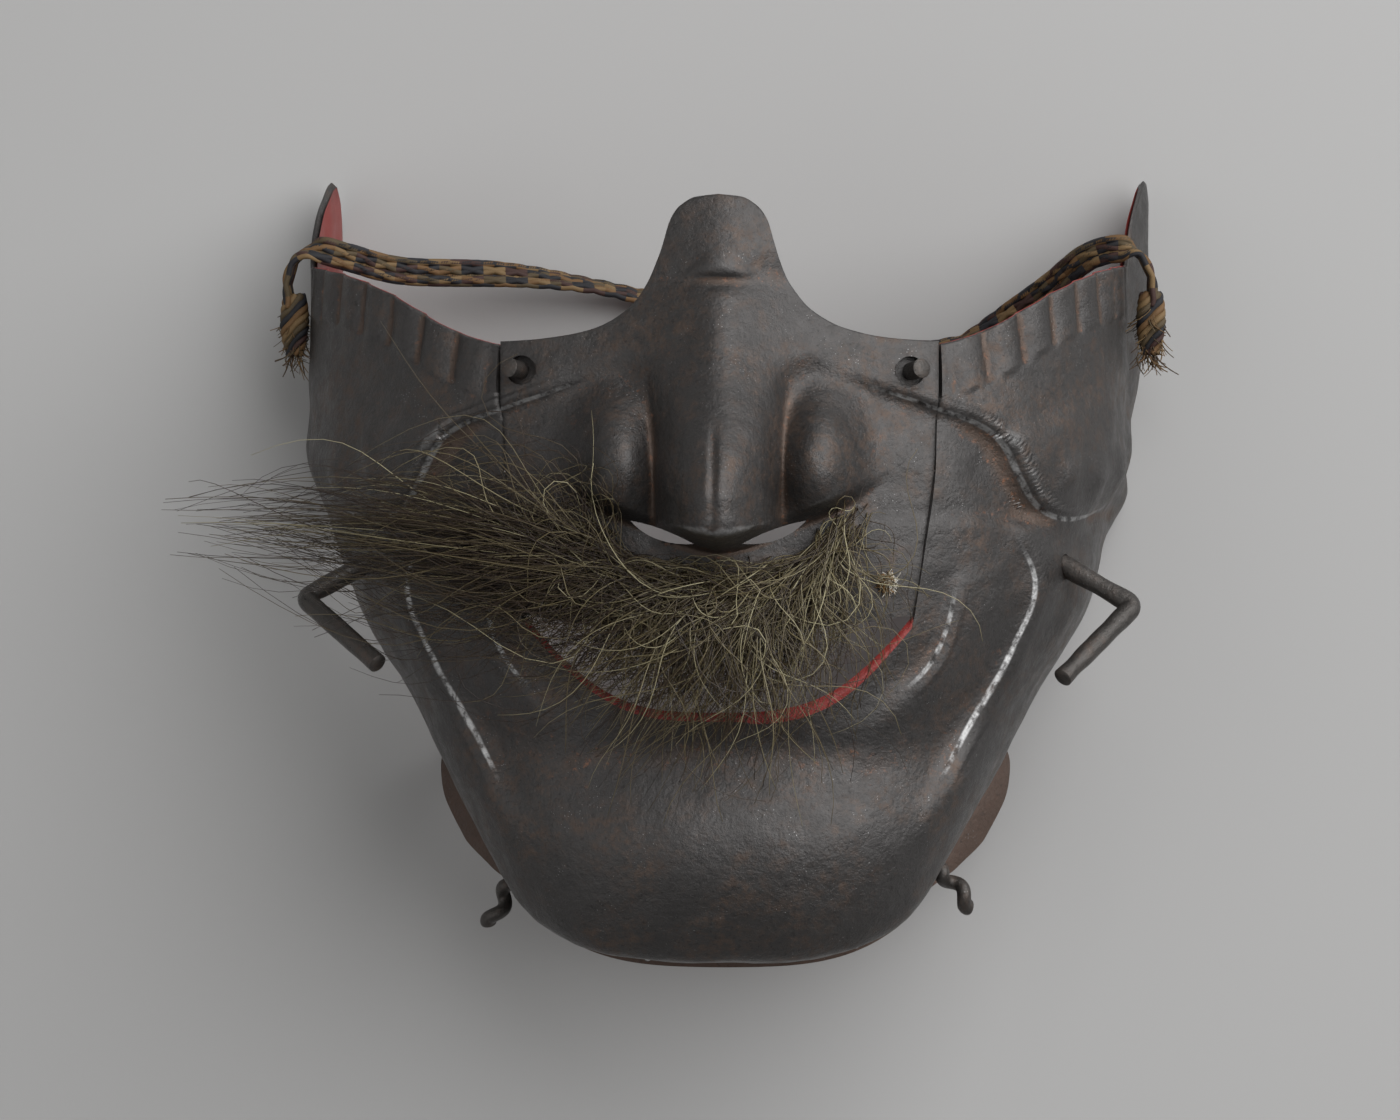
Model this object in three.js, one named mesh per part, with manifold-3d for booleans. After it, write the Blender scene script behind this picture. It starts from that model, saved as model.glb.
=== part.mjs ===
// A samurai half mask of beaten iron: a shell of cheeks and chin, a nose plate hooked over two
// studs, a collar for a throat guard, cord hooks and pegs, a hair moustache and a silk tie cord.
// Millimetres. It lies on its back: +X is the viewer's right, +Y up the face, +Z out of the face.
// "left" and "right" in names are the viewer's.
import * as THREE from "three";
import { mergeVertices } from "three/addons/utils/BufferGeometryUtils.js";
import Module from "manifold-3d";

const wasm = await Module();
wasm.setup();

// ---------------------------------------------------------------- driving dimensions
const SHELL_WALL = 1.5;
const PLATE_WALL = 1.2;
const COLLAR_WALL = 1.4;
const GAP = 0.35; // between pieces that touch
const SEAM = 26; // degrees round the form at which the nose plate meets the shell
const SEAM_HALF = 0.2; // half the joggle's width, degrees
const TONGUE = 18.5; // degrees, inner edge of the tongue that lies under the nose plate
const MOUTH_LEVEL = -11.2; // mouth corners
const LIP_DROP = 18.6; // lower lip below its corners
const CREASE_LEVEL = -80; // where the chin turns under
const LAST_LEVEL = -125; // back edge of the under-chin
const FLUTE_PITCH = 6.9; // degrees from one eye-edge flute to the next
const FLUTE_DEPTH = 1.4;
const FLUTE_BAND = 10.5; // height of the fluted band
const STUD = { left: { x: -38.8, y: 37.2 }, right: { x: 37.4, y: 36.9 }, radius: 1.55, hole: 2.9 };
const HAIR_PLUG = { x: 32.8, y: -4.4, radius: 1.6, stands: 2.2 };
const HOOK = { radius: 1.6, inside: 3.2, head: 2.9 };
const PEG = { radius: 1.5, lobe: 0.8, stands: 12, inside: 2.5, turns: 1.7 };
const CORD = { wide: 2, thick: 2 }; // half sizes of the braid
const EAR_LEAN = { left: 3.4, right: 4.8 }; // both ears lean towards +X at their back edge
const LEFT_BULGE = 2.8; // the left cheek stands out further before its ear turns in

// The form, level by level. Each level is an arc from the mid-plane point (yMid, zMid) round to
// the back edge (xEdge, yEdge, zEdge). Above the mouth a level is its own height.
const LEVELS = [
  { level: 82, yMid: 82, zMid: 76, xEdge: 86, yEdge: 82, zEdge: 0 },
  { level: 60, yMid: 60, zMid: 80, xEdge: 86.2, yEdge: 60, zEdge: 0 },
  { level: 40, yMid: 40, zMid: 84, xEdge: 86.2, yEdge: 40, zEdge: 0 },
  { level: 20, yMid: 20, zMid: 87.5, xEdge: 84.5, yEdge: 20, zEdge: 0 },
  { level: 10, yMid: 10, zMid: 88.5, xEdge: 82.3, yEdge: 10, zEdge: 0 },
  { level: 6, yMid: 6, zMid: 88.8, xEdge: 81, yEdge: 6, zEdge: 9 },
  { level: -10, yMid: -10, zMid: 89, xEdge: 76.3, yEdge: -9, zEdge: 14 },
  { level: -25, yMid: -25, zMid: 88, xEdge: 71.5, yEdge: -17, zEdge: 15 },
  { level: -40, yMid: -40, zMid: 85.5, xEdge: 67.5, yEdge: -23, zEdge: 15 },
  { level: -55, yMid: -55, zMid: 87.5, xEdge: 64.5, yEdge: -28, zEdge: 14 },
  { level: -70, yMid: -70, zMid: 84.5, xEdge: 62, yEdge: -32, zEdge: 11 },
  { level: CREASE_LEVEL, yMid: -78.2, zMid: 79, xEdge: 60.5, yEdge: -34.5, zEdge: 8.5 },
  { level: -103, yMid: -80, zMid: 59, xEdge: 58.5, yEdge: -35.5, zEdge: 5.5 },
  { level: LAST_LEVEL, yMid: -81, zMid: 40, xEdge: 57, yEdge: -36.5, zEdge: 2.9 },
];
const SQUARENESS = 2.4; // exponent of the arcs: 2 is an ellipse, more is boxier
const CORNER = { soft: 3.7, hard: 2.6, from: 0.6, to: 0.85 }; // how late a low level turns up the jaw

// Upper edge of the shell: angle round the form and height. Past the notch it is the ear.
const EYE_EDGE = [
  { angle: 0, y: 42 },
  { angle: 25, y: 42.4 },
  { angle: 29.3, y: 43.6 },
  { angle: 33.6, y: 45.6 },
  { angle: 38.4, y: 48.4 },
  { angle: 44.8, y: 52.4 },
  { angle: 52.4, y: 56 },
  { angle: 60.5, y: 58.8 },
  { angle: 70, y: 60.8 },
  { angle: 76.8, y: 61.8 },
  { angle: 80, y: 69.5 },
  { angle: 83, y: 76 },
  { angle: 86.5, y: 81 },
  { angle: 88.6, y: 78 },
  { angle: 90, y: 70 },
];

// Upper edge of the nose plate, from the mid-plane out to the seam.
const PLATE_TOP = [
  { x: 0, y: 71.2 },
  { x: 4.8, y: 70.7 },
  { x: 8, y: 69 },
  { x: 10, y: 66.4 },
  { x: 11.2, y: 62.5 },
  { x: 12.4, y: 58.8 },
  { x: 14.9, y: 53.6 },
  { x: 19, y: 48.8 },
  { x: 25, y: 45.3 },
  { x: 31.3, y: 43.8 },
  { x: 37, y: 43.2 },
  { x: 44, y: 43 },
];

// Height of the nose's crest above the form, down the mid-plane, before it turns under.
const NOSE_CREST = [
  { y: 72, rise: 6.4 },
  { y: 64, rise: 7.2 },
  { y: 60, rise: 7.6 },
  { y: 55, rise: 7 },
  { y: 50, rise: 8 },
  { y: 44, rise: 9.4 },
  { y: 38, rise: 11.4 },
  { y: 30, rise: 14.8 },
  { y: 22, rise: 19 },
  { y: 15, rise: 22.6 },
  { y: 11, rise: 23.7 },
  { y: 7, rise: 23.5 },
  { y: 2, rise: 22 },
  { y: -20, rise: 21 },
];
const NOSE = { halfWidth: 12.3, bridgeWidth: 13, undersideY: 3, undersideRise: 5.2, wing: 17 };
const WING = { x: 19.6, y: 19.4, halfWidth: 8.4, halfHeight: 13, rise: 9.5 };

// Folds beaten into the iron: a line with the drop from its high side to its low side.
// A fold's high side is on its left when it is walked from first point to last.
const FOLDS = [
  { // from the nose, under the eye, round the cheek pad
    spread: 7,
    points: [
      { x: 11.8, y: 8, rise: 0 },
      { x: 12.2, y: 20, rise: 1.6 },
      { x: 12.9, y: 31, rise: 2.2 },
      { x: 14.6, y: 36, rise: 2.2 },
      { x: 18.5, y: 37.2, rise: 2.2 },
      { x: 27.6, y: 34.4, rise: 2 },
      { x: 42.9, y: 29.5, rise: 2.2 },
      { x: 50.3, y: 26.9, rise: 3 },
      { x: 54.6, y: 24.2, rise: 3.8 },
      { x: 57.2, y: 20.5, rise: 4.2 },
      { x: 59.4, y: 16, rise: 4.2 },
      { x: 62, y: 11.8, rise: 4 },
      { x: 65.4, y: 9.1, rise: 3.8 },
      { x: 69.8, y: 8, rise: 3.2 },
      { x: 75, y: 9.4, rise: 2.2 },
      { x: 80.2, y: 12.6, rise: 1 },
      { x: 83.5, y: 16, rise: 0 },
    ],
  },
  { // upper edge of the cheek pad
    spread: 5,
    points: [
      { x: 80.5, y: 38, rise: 0 },
      { x: 76, y: 34.5, rise: 1 },
      { x: 70.5, y: 30.2, rise: 1.4 },
      { x: 64.5, y: 27, rise: 1.4 },
      { x: 58.5, y: 25.4, rise: 1.2 },
      { x: 54.6, y: 24.6, rise: 0 },
    ],
  },
  { // round the corner of the mouth
    spread: 5,
    points: [
      { x: 22, y: -34, rise: 0 },
      { x: 27.2, y: -31.2, rise: 1 },
      { x: 33, y: -27.6, rise: 1.8 },
      { x: 38.8, y: -23.2, rise: 2 },
      { x: 42.4, y: -18.6, rise: 2 },
      { x: 44.7, y: -12.9, rise: 1.8 },
      { x: 46, y: -7, rise: 1.4 },
      { x: 46.6, y: -1, rise: 0 },
    ],
    highOnRight: true,
  },
  { // from the cheek pad down to the jaw
    spread: 7,
    points: [
      { x: 58.2, y: 9.5, rise: 0 },
      { x: 59.6, y: 4.2, rise: 1.8 },
      { x: 62, y: -0.4, rise: 2.2 },
      { x: 62.8, y: -5, rise: 2.4 },
      { x: 61.8, y: -10.2, rise: 2.4 },
      { x: 59.4, y: -15.4, rise: 2.4 },
      { x: 56, y: -21.8, rise: 2.6 },
      { x: 51.6, y: -29, rise: 2.8 },
      { x: 46.6, y: -37.8, rise: 2.8 },
      { x: 42.7, y: -45.2, rise: 2.2 },
      { x: 39.6, y: -51.5, rise: 1 },
      { x: 37, y: -57, rise: 0 },
    ],
  },
  { // behind the hook
    spread: 4,
    points: [
      { x: 76, y: 6.5, rise: 0 },
      { x: 74.4, y: 1.6, rise: 1 },
      { x: 71, y: -3.4, rise: 1.2 },
      { x: 70.2, y: -8, rise: 1.4 },
      { x: 67.2, y: -12.4, rise: 1.2 },
      { x: 64.6, y: -18, rise: 1 },
      { x: 61.4, y: -24, rise: 0 },
    ],
  },
];
const FOLD_SHARPNESS = 2.2; // half the width over which a fold steps down

// Rounded swellings (and hollows, where rise is negative): chin, cheek pad and its knuckles.
const SWELLINGS = [
  { angle: 0, y: -59, wide: 20, high: 15, rise: 2.4 },
  { angle: 0, y: -38, wide: 16, high: 5, rise: -1.4 },
  { angle: 64, y: 21, wide: 15, high: 9, rise: 1.9 },
  { angle: 52, y: 17.6, wide: 3, high: 3.6, rise: 1.3 },
  { angle: 60.5, y: 17.4, wide: 2.8, high: 3.8, rise: 1.3 },
  { angle: 70, y: 19, wide: 3.2, high: 4.6, rise: 1.4 },
  { angle: 80, y: 23, wide: 4, high: 6, rise: 1.2 },
];

// ---------------------------------------------------------------- small helpers
const radians = (degrees) => (degrees * Math.PI) / 180;
const clamp = (v, low, high) => Math.min(high, Math.max(low, v));
const mix = (a, b, t) => a + (b - a) * t;
const smoothstep = (low, high, v) => {
  const t = clamp((v - low) / (high - low), 0, 1);
  return t * t * (3 - 2 * t);
};
const gauss = (v) => Math.exp(-v * v);

// A smooth curve through a table that never overshoots it (monotone cubic).
function tableCurve(rows, from, to) {
  const sorted = [...rows].sort((a, b) => a[from] - b[from]);
  const xs = sorted.map((row) => row[from]);
  const ys = sorted.map((row) => row[to]);
  const slopes = xs.slice(1).map((x, i) => (ys[i + 1] - ys[i]) / (x - xs[i]));
  const tangents = xs.map((_, i) => {
    if (i === 0) return slopes[0];
    if (i === xs.length - 1) return slopes[i - 1];
    const [a, b] = [slopes[i - 1], slopes[i]];
    return a * b <= 0 ? 0 : (2 * a * b) / (a + b);
  });
  return (v) => {
    const x = clamp(v, xs[0], xs.at(-1));
    const i = clamp(xs.findIndex((edge) => edge > x) - 1, 0, xs.length - 2);
    const k = xs.findIndex((edge) => edge > x) < 0 ? xs.length - 2 : i;
    const h = xs[k + 1] - xs[k];
    const t = (x - xs[k]) / h;
    const rise = ys[k] * (1 + 2 * t) * (1 - t) ** 2 + ys[k + 1] * t * t * (3 - 2 * t);
    return rise + h * (tangents[k] * t * (1 - t) ** 2 - tangents[k + 1] * t * t * (1 - t));
  };
}

// ---------------------------------------------------------------- the form and its relief
const LEVEL_CURVES = ["yMid", "zMid", "xEdge", "yEdge", "zEdge"].map((name) => [
  name,
  tableCurve(LEVELS, "level", name),
]);
const levelAt = (level) =>
  Object.fromEntries(LEVEL_CURVES.map(([name, curve]) => [name, curve(level)]));
const eyeEdge = tableCurve(EYE_EDGE, "angle", "y");
const plateTop = tableCurve(PLATE_TOP, "x", "y");
const noseCrest = tableCurve(NOSE_CREST, "y", "rise");

// Share of the half width reached at an angle, and of the depth still left there.
const reachAt = (angle) => Math.sin(radians(Math.abs(angle))) ** (2 / SQUARENESS);
const depthAt = (angle) => Math.max(0, Math.cos(radians(Math.abs(angle)))) ** (2 / SQUARENESS);
const angleOf = (reach) =>
  (Math.asin(Math.min(1, reach) ** (SQUARENESS / 2)) * 180) / Math.PI;

function formPoint(angle, level) {
  const at = levelAt(level);
  const reach = reachAt(angle);
  const late = mix(CORNER.soft, CORNER.hard, smoothstep(CORNER.from, CORNER.to, reach));
  const back = smoothstep(77, 90, Math.abs(angle));
  const ear = back * smoothstep(16, 58, level);
  const shift =
    angle > 0
      ? EAR_LEAN.right * (ear + 0.6 * back * gauss((level - 13) / 6))
      : EAR_LEAN.left * ear - LEFT_BULGE * smoothstep(45, 76, -angle) * smoothstep(-12, 14, level);
  return new THREE.Vector3(
    Math.sign(angle) * at.xEdge * reach + shift,
    at.yMid + (at.yEdge - at.yMid) * reach ** late,
    at.zEdge + (at.zMid - at.zEdge) * depthAt(angle),
  );
}

function formNormal(angle, level) {
  const safe = clamp(angle, -88.5, 88.5);
  const across = formPoint(safe + 1, level).sub(formPoint(safe - 1, level));
  const down = formPoint(safe, level - 1).sub(formPoint(safe, level + 1));
  return down.cross(across).normalize();
}

// Signed distance to a fold's line and the drop there.
function nearFold(fold, x, y) {
  let best = { distance: Infinity };
  const points = fold.points;
  for (let i = 0; i + 1 < points.length; i++) {
    const [a, b] = [points[i], points[i + 1]];
    const [dx, dy] = [b.x - a.x, b.y - a.y];
    const t = clamp(((x - a.x) * dx + (y - a.y) * dy) / (dx * dx + dy * dy), 0, 1);
    const [px, py] = [x - a.x - dx * t, y - a.y - dy * t];
    const distance = Math.hypot(px, py);
    if (distance < best.distance)
      best = { distance, high: Math.sign(dx * py - dy * px), rise: mix(a.rise, b.rise, t) };
  }
  return best;
}

function foldRelief(x, y) {
  let height = 0;
  for (const fold of FOLDS) {
    const near = nearFold(fold, Math.abs(x), y);
    const side = fold.highOnRight ? -near.high : near.high;
    const step = Math.tanh(near.distance / FOLD_SHARPNESS) * Math.exp(-near.distance / fold.spread);
    height += (near.rise / 2) * side * step;
  }
  return height;
}

function swellingRelief(angle, y) {
  let height = 0;
  for (const one of SWELLINGS)
    height +=
      one.rise * gauss((Math.abs(angle) - one.angle) / one.wide) * gauss((y - one.y) / one.high);
  return height;
}

// Convex ribs between sharp grooves, along the eye edge.
function fluteRelief(angle, y) {
  const below = eyeEdge(Math.min(Math.abs(angle), 76)) - y;
  const along = (Math.abs(angle) - SEAM - SEAM_HALF - 0.1 * below) / FLUTE_PITCH;
  const across = along - Math.floor(along);
  const rib = 1 - Math.abs(2 * across - 1) ** 2;
  const within = smoothstep(FLUTE_BAND + 1.2, FLUTE_BAND - 0.6, below);
  const fade = smoothstep(0, 0.15, along) * smoothstep(77, 74.5, Math.abs(angle));
  return FLUTE_DEPTH * (rib - 0.6) * within * fade;
}

function shellRelief(angle, point) {
  return foldRelief(point.x, point.y) + swellingRelief(angle, point.y) + fluteRelief(angle, point.y);
}

// Height of the nose, its wings, its brow fold and the lip above the form.
function noseRelief(x, y) {
  const out = Math.abs(x);
  const crest = noseCrest(y);
  const bridge = smoothstep(30, 46, y);
  const body = Math.max(0, 1 - (out / NOSE.halfWidth) ** 2.3) ** 0.85;
  const saddle = gauss(out / (NOSE.bridgeWidth + 0.25 * Math.max(0, y - 56)));
  const form = crest * mix(body, saddle, bridge);
  const pedestal = 3.2 * gauss(out / 17) * gauss((y - 18) / 15) * (1 - bridge);
  const wingReach = Math.hypot((out - WING.x) / WING.halfWidth, (y - WING.y) / WING.halfHeight);
  const wing = WING.rise * Math.max(0, 1 - wingReach ** 2) ** 0.62;
  const underside = NOSE.undersideY + NOSE.undersideRise * (out / NOSE.wing) ** 1.4;
  const above = smoothstep(underside - 1.9, underside + 1.9, y);
  const cleft = -0.7 * gauss((x + 0.8) / 0.9) * smoothstep(28, 20, y) * above;
  const brow = 1.9 * gauss((y - 57.4) / 1.6) * Math.max(0, 1 - (out / 8) ** 2);
  const crease = -1 * gauss((y - 54) / 1.6) * gauss(out / 8);
  const lip = 1.4 * smoothstep(20, 0, out) * smoothstep(6, -4, y);
  return (Math.hypot(form, wing) + pedestal) * above + cleft + brow + crease + lip;
}

// ---------------------------------------------------------------- solids
// A sheet between an outer and an inner grid of points, with walls along every open edge.
function sheetGeometry(columns, rows, present, outer, inner) {
  const positions = [];
  for (const surface of [outer, inner])
    for (let j = 0; j < rows; j++)
      for (let i = 0; i < columns; i++) positions.push(...surface(i, j).toArray());
  const front = (i, j) => j * columns + i;
  const back = (i, j) => columns * rows + front(i, j);
  const faces = [];
  const quad = (a, b, c, d) => faces.push(a, b, c, a, c, d);
  const has = (i, j) => i >= 0 && j >= 0 && i < columns - 1 && j < rows - 1 && present(i, j);
  for (let j = 0; j < rows - 1; j++)
    for (let i = 0; i < columns - 1; i++) {
      if (!has(i, j)) continue;
      quad(front(i, j), front(i, j + 1), front(i + 1, j + 1), front(i + 1, j));
      quad(back(i, j), back(i + 1, j), back(i + 1, j + 1), back(i, j + 1));
      const wall = (i0, j0, i1, j1) =>
        quad(front(i0, j0), front(i1, j1), back(i1, j1), back(i0, j0));
      if (!has(i - 1, j)) wall(i, j + 1, i, j);
      if (!has(i + 1, j)) wall(i + 1, j, i + 1, j + 1);
      if (!has(i, j - 1)) wall(i, j, i + 1, j);
      if (!has(i, j + 1)) wall(i + 1, j + 1, i, j + 1);
    }
  const geometry = new THREE.BufferGeometry();
  geometry.setAttribute("position", new THREE.Float32BufferAttribute(positions, 3));
  geometry.setIndex(faces);
  return geometry;
}

function toSolid(geometry) {
  const bare = geometry.clone();
  bare.deleteAttribute("normal");
  bare.deleteAttribute("uv");
  const merged = mergeVertices(bare, 1e-4);
  return new wasm.Manifold(
    new wasm.Mesh({
      numProp: 3,
      vertProperties: new Float32Array(merged.attributes.position.array),
      triVerts: new Uint32Array(merged.index.array),
    }),
  );
}

function toGeometry(solid) {
  const mesh = solid.getMesh();
  const geometry = new THREE.BufferGeometry();
  geometry.setAttribute("position", new THREE.BufferAttribute(mesh.vertProperties, 3));
  geometry.setIndex(new THREE.BufferAttribute(mesh.triVerts, 1));
  return geometry;
}

const cut = (geometry, ...tools) =>
  toGeometry(tools.reduce((solid, tool) => solid.subtract(toSolid(tool)), toSolid(geometry)));
const fuse = (...geometries) =>
  toGeometry(geometries.map(toSolid).reduce((whole, part) => whole.add(part)));

// A round bar between two points.
function bar(from, to, radius, sides = 8, endRadius = radius) {
  const length = from.distanceTo(to);
  const geometry = new THREE.CylinderGeometry(endRadius, radius, length, sides);
  const turn = new THREE.Quaternion().setFromUnitVectors(
    new THREE.Vector3(0, 1, 0),
    to.clone().sub(from).normalize(),
  );
  return geometry
    .applyQuaternion(turn)
    .translate(...from.clone().add(to).multiplyScalar(0.5).toArray());
}

// An oval section swept along a curve.
function sweep(curve, steps, halfWide, halfThick, sides = 8) {
  const section = new THREE.Shape();
  for (let k = 0; k < sides; k++) {
    const turn = (2 * Math.PI * k) / sides;
    const [x, y] = [halfThick * Math.cos(turn), halfWide * Math.sin(turn)];
    if (k === 0) section.moveTo(x, y);
    else section.lineTo(x, y);
  }
  return new THREE.ExtrudeGeometry(section, { steps, extrudePath: curve, bevelEnabled: false });
}

// ---------------------------------------------------------------- shell of cheeks and chin
function mirrored(positive) {
  const negative = positive.filter((v) => v > 0).map((v) => -v).reverse();
  return [...negative, ...positive];
}

const fluteColumns = Array.from({ length: 14 }, (_, k) => SEAM + SEAM_HALF + (k + 1) * (FLUTE_PITCH / 2));
const SHELL_ANGLES = mirrored([
  0, 6, 12, TONGUE, SEAM - SEAM_HALF, SEAM + SEAM_HALF, ...fluteColumns, 77.4, 80.5, 84, 87.5, 90,
]);
const UPPER_SHARES = [0, 0.08, 0.16, 0.22, 0.3, 0.38, 0.46, 0.55, 0.64, 0.74, 0.87, 1];
const LOWER_SHARES = [0.16, 0.34, 0.52, 0.7, 0.88, 1];
const UNDER_LEVELS = [-98, LAST_LEVEL];
const MOUTH_ROW = UPPER_SHARES.length - 1;
const TONGUE_LAST_ROW = 6; // the tongue ends well above the mouth

function lipLevel(angle) {
  const across = Math.min(1, reachAt(angle) / reachAt(SEAM));
  return MOUTH_LEVEL - LIP_DROP * (1 - across ** 3.2);
}

function shellLevel(angle, row) {
  if (row <= MOUTH_ROW && Math.abs(angle) >= TONGUE) {
    const isTongue = Math.abs(angle) < SEAM;
    const end = isTongue ? MOUTH_LEVEL + 0.6 : MOUTH_LEVEL;
    if (!(isTongue && row === MOUTH_ROW)) return mix(eyeEdge(Math.abs(angle)), end, UPPER_SHARES[row]);
  }
  const start = Math.abs(angle) < SEAM ? lipLevel(angle) : MOUTH_LEVEL;
  if (row <= MOUTH_ROW) return start;
  const below = row - MOUTH_ROW - 1;
  if (below < LOWER_SHARES.length) return mix(start, CREASE_LEVEL, LOWER_SHARES[below]);
  return UNDER_LEVELS[below - LOWER_SHARES.length];
}

function shellPoint(angle, row, inset) {
  const level = shellLevel(angle, row);
  const point = formPoint(angle, level);
  const isJoggled = Math.abs(angle) < SEAM && row < MOUTH_ROW;
  const joggle = isJoggled ? PLATE_WALL + 2 * GAP : 0;
  const rolled = row === MOUTH_ROW && Math.abs(angle) < SEAM ? 0.8 : 0;
  const height = shellRelief(angle, point) - joggle - rolled - inset;
  const normal = formNormal(angle, level);
  if (Math.abs(angle) > 88) normal.setZ(0).normalize();
  return point.addScaledVector(normal, height);
}

function shellGeometry(holes) {
  const rows = UPPER_SHARES.length + LOWER_SHARES.length + UNDER_LEVELS.length;
  const outside = (i, j) => shellPoint(SHELL_ANGLES[i], j, 0);
  const inside = (i, j) => shellPoint(SHELL_ANGLES[i], j, SHELL_WALL);
  const present = (i, j) => {
    const middle = Math.abs(SHELL_ANGLES[i] + SHELL_ANGLES[i + 1]) / 2;
    if (j >= MOUTH_ROW) return true;
    if (middle < TONGUE) return false;
    return middle > SEAM + SEAM_HALF || j < TONGUE_LAST_ROW;
  };
  return cut(sheetGeometry(SHELL_ANGLES.length, rows, present, outside, inside), ...holes);
}

// ---------------------------------------------------------------- nose plate
const PLATE_X = mirrored([0, 2.6, 5.6, 8.6, 10.8, 12.4, 14.4, 17.2, 20.4, 23.6, 26, 28.4, 34, 40.3]);
const PLATE_UPPER = [0, 0.16, 0.32, 0.42, 0.52, 0.68, 0.84, 1];
const PLATE_LOWER_Y = [33.5, 29.5, 25, 20.5, 16, 12, 8.6, 6.4, 4.4, 2.4, 0, -5];
const PLATE_WAIST = 37.5; // height where the even rows start

const upperLipY = (x) => MOUTH_LEVEL + 0.6 - 3.4 * (1 - (x / 38) ** 2);

function plateHeight(x, y) {
  const at = levelAt(y);
  const reach = Math.min(0.98, Math.abs(x) / at.xEdge);
  const form = at.zEdge + (at.zMid - at.zEdge) * (1 - reach ** SQUARENESS) ** (1 / SQUARENESS);
  const slope = 1 + 0.25 * smoothstep(15, 45, Math.abs(x)); // a height stands thicker on a slope
  return form + noseRelief(x, y) + foldRelief(x, y) * slope;
}

// The seam follows a constant angle, so the plate's outer columns lean in with the form.
function plateX(share, y) {
  const seam = levelAt(y).xEdge * reachAt(SEAM - SEAM_HALF) - GAP;
  return (seam * share) / PLATE_X.at(-1);
}

function plateNode(i, j) {
  const share = PLATE_X[i];
  const top = plateTop(Math.abs(share) * 1.055);
  const last = PLATE_UPPER.length + PLATE_LOWER_Y.length;
  const side = Math.abs(share) / PLATE_X.at(-1);
  const straight = Math.max(0, side - 0.2) / 0.8;
  const xAt = (y) => mix(share, plateX(share, y), smoothstep(0, 1, straight));
  if (j < PLATE_UPPER.length) {
    const y = mix(top, PLATE_WAIST, PLATE_UPPER[j]);
    return [xAt(y), y];
  }
  if (j < last) {
    const y = PLATE_LOWER_Y[j - PLATE_UPPER.length];
    return [xAt(y), y];
  }
  const x = xAt(MOUTH_LEVEL);
  return [x, upperLipY(x)];
}

function platePoint(i, j, inset) {
  const [x, y] = plateNode(i, j);
  const e = 0.5;
  const slopeX = (plateHeight(x + e, y) - plateHeight(x - e, y)) / (2 * e);
  const slopeY = (plateHeight(x, y + e) - plateHeight(x, y - e)) / (2 * e);
  const normal = new THREE.Vector3(-slopeX, -slopeY, 1).normalize();
  return new THREE.Vector3(x, y, plateHeight(x, y)).addScaledVector(normal, -inset);
}

// A nostril: a slit from the wing in to the tip, cut straight through.
function nostrilCutter(side) {
  const outline = new THREE.Shape();
  outline.moveTo(side * 17, 7.6);
  outline.quadraticCurveTo(side * 11, 6.6, side * 4.6, 3.1);
  outline.quadraticCurveTo(side * 12.5, 2.6, side * 17, 7.6);
  const depth = 60;
  return new THREE.ExtrudeGeometry(outline, { depth, bevelEnabled: false, curveSegments: 6 }).translate(0, 0, 70);
}

const uprightBar = (x, y, radius) =>
  bar(new THREE.Vector3(x, y, 60), new THREE.Vector3(x, y, 130), radius, 12);

function plateGeometry() {
  const rows = PLATE_UPPER.length + PLATE_LOWER_Y.length + 1;
  const sheet = sheetGeometry(
    PLATE_X.length,
    rows,
    () => true,
    (i, j) => platePoint(i, j, 0),
    (i, j) => platePoint(i, j, PLATE_WALL),
  );
  return cut(
    sheet,
    nostrilCutter(-1),
    nostrilCutter(1),
    uprightBar(STUD.left.x, STUD.left.y, STUD.hole),
    uprightBar(STUD.right.x, STUD.right.y, STUD.hole),
    uprightBar(HAIR_PLUG.x, HAIR_PLUG.y, HAIR_PLUG.radius + GAP),
  );
}

// ---------------------------------------------------------------- studs, plug, hooks, pegs
// A stud of the tongue: up through the plate's hole, then bent outwards over the plate.
function studLine(side) {
  const hole = side < 0 ? STUD.left : STUD.right;
  const x = hole.x + side * 0.55;
  const z = plateHeight(x, hole.y);
  return {
    foot: new THREE.Vector3(x - side * 1.2, hole.y, z - 7),
    bend: new THREE.Vector3(x, hole.y, z + 0.4),
    tip: new THREE.Vector3(x + side * 1.7, hole.y + 0.4, z + 3.4),
  };
}

function studGeometry(side) {
  const { foot, bend, tip } = studLine(side);
  const knee = new THREE.IcosahedronGeometry(STUD.radius * 1.08, 0).translate(...bend.toArray());
  return fuse(bar(foot, bend, STUD.radius), knee, bar(bend, tip, STUD.radius, 8, STUD.radius * 1.1));
}

function plugGeometry() {
  const z = plateHeight(HAIR_PLUG.x, HAIR_PLUG.y);
  const foot = new THREE.Vector3(HAIR_PLUG.x, HAIR_PLUG.y, z - 2.6);
  const top = new THREE.Vector3(HAIR_PLUG.x - 0.3, HAIR_PLUG.y + 0.6, z + HAIR_PLUG.stands);
  return bar(foot, top, HAIR_PLUG.radius, 10, HAIR_PLUG.radius * 0.8);
}

// A cheek hook: a rod out of the cheek, bent square and down towards the jaw.
const HOOKS = {
  left: { base: [-71.4, -0.4], elbow: [-83.8, -7.6, 61], tip: [-67.2, -20.6, 75] },
  right: { base: [69.6, -1.4], elbow: [82.6, -9.1, 61], tip: [67.2, -23.3, 75] },
};

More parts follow.
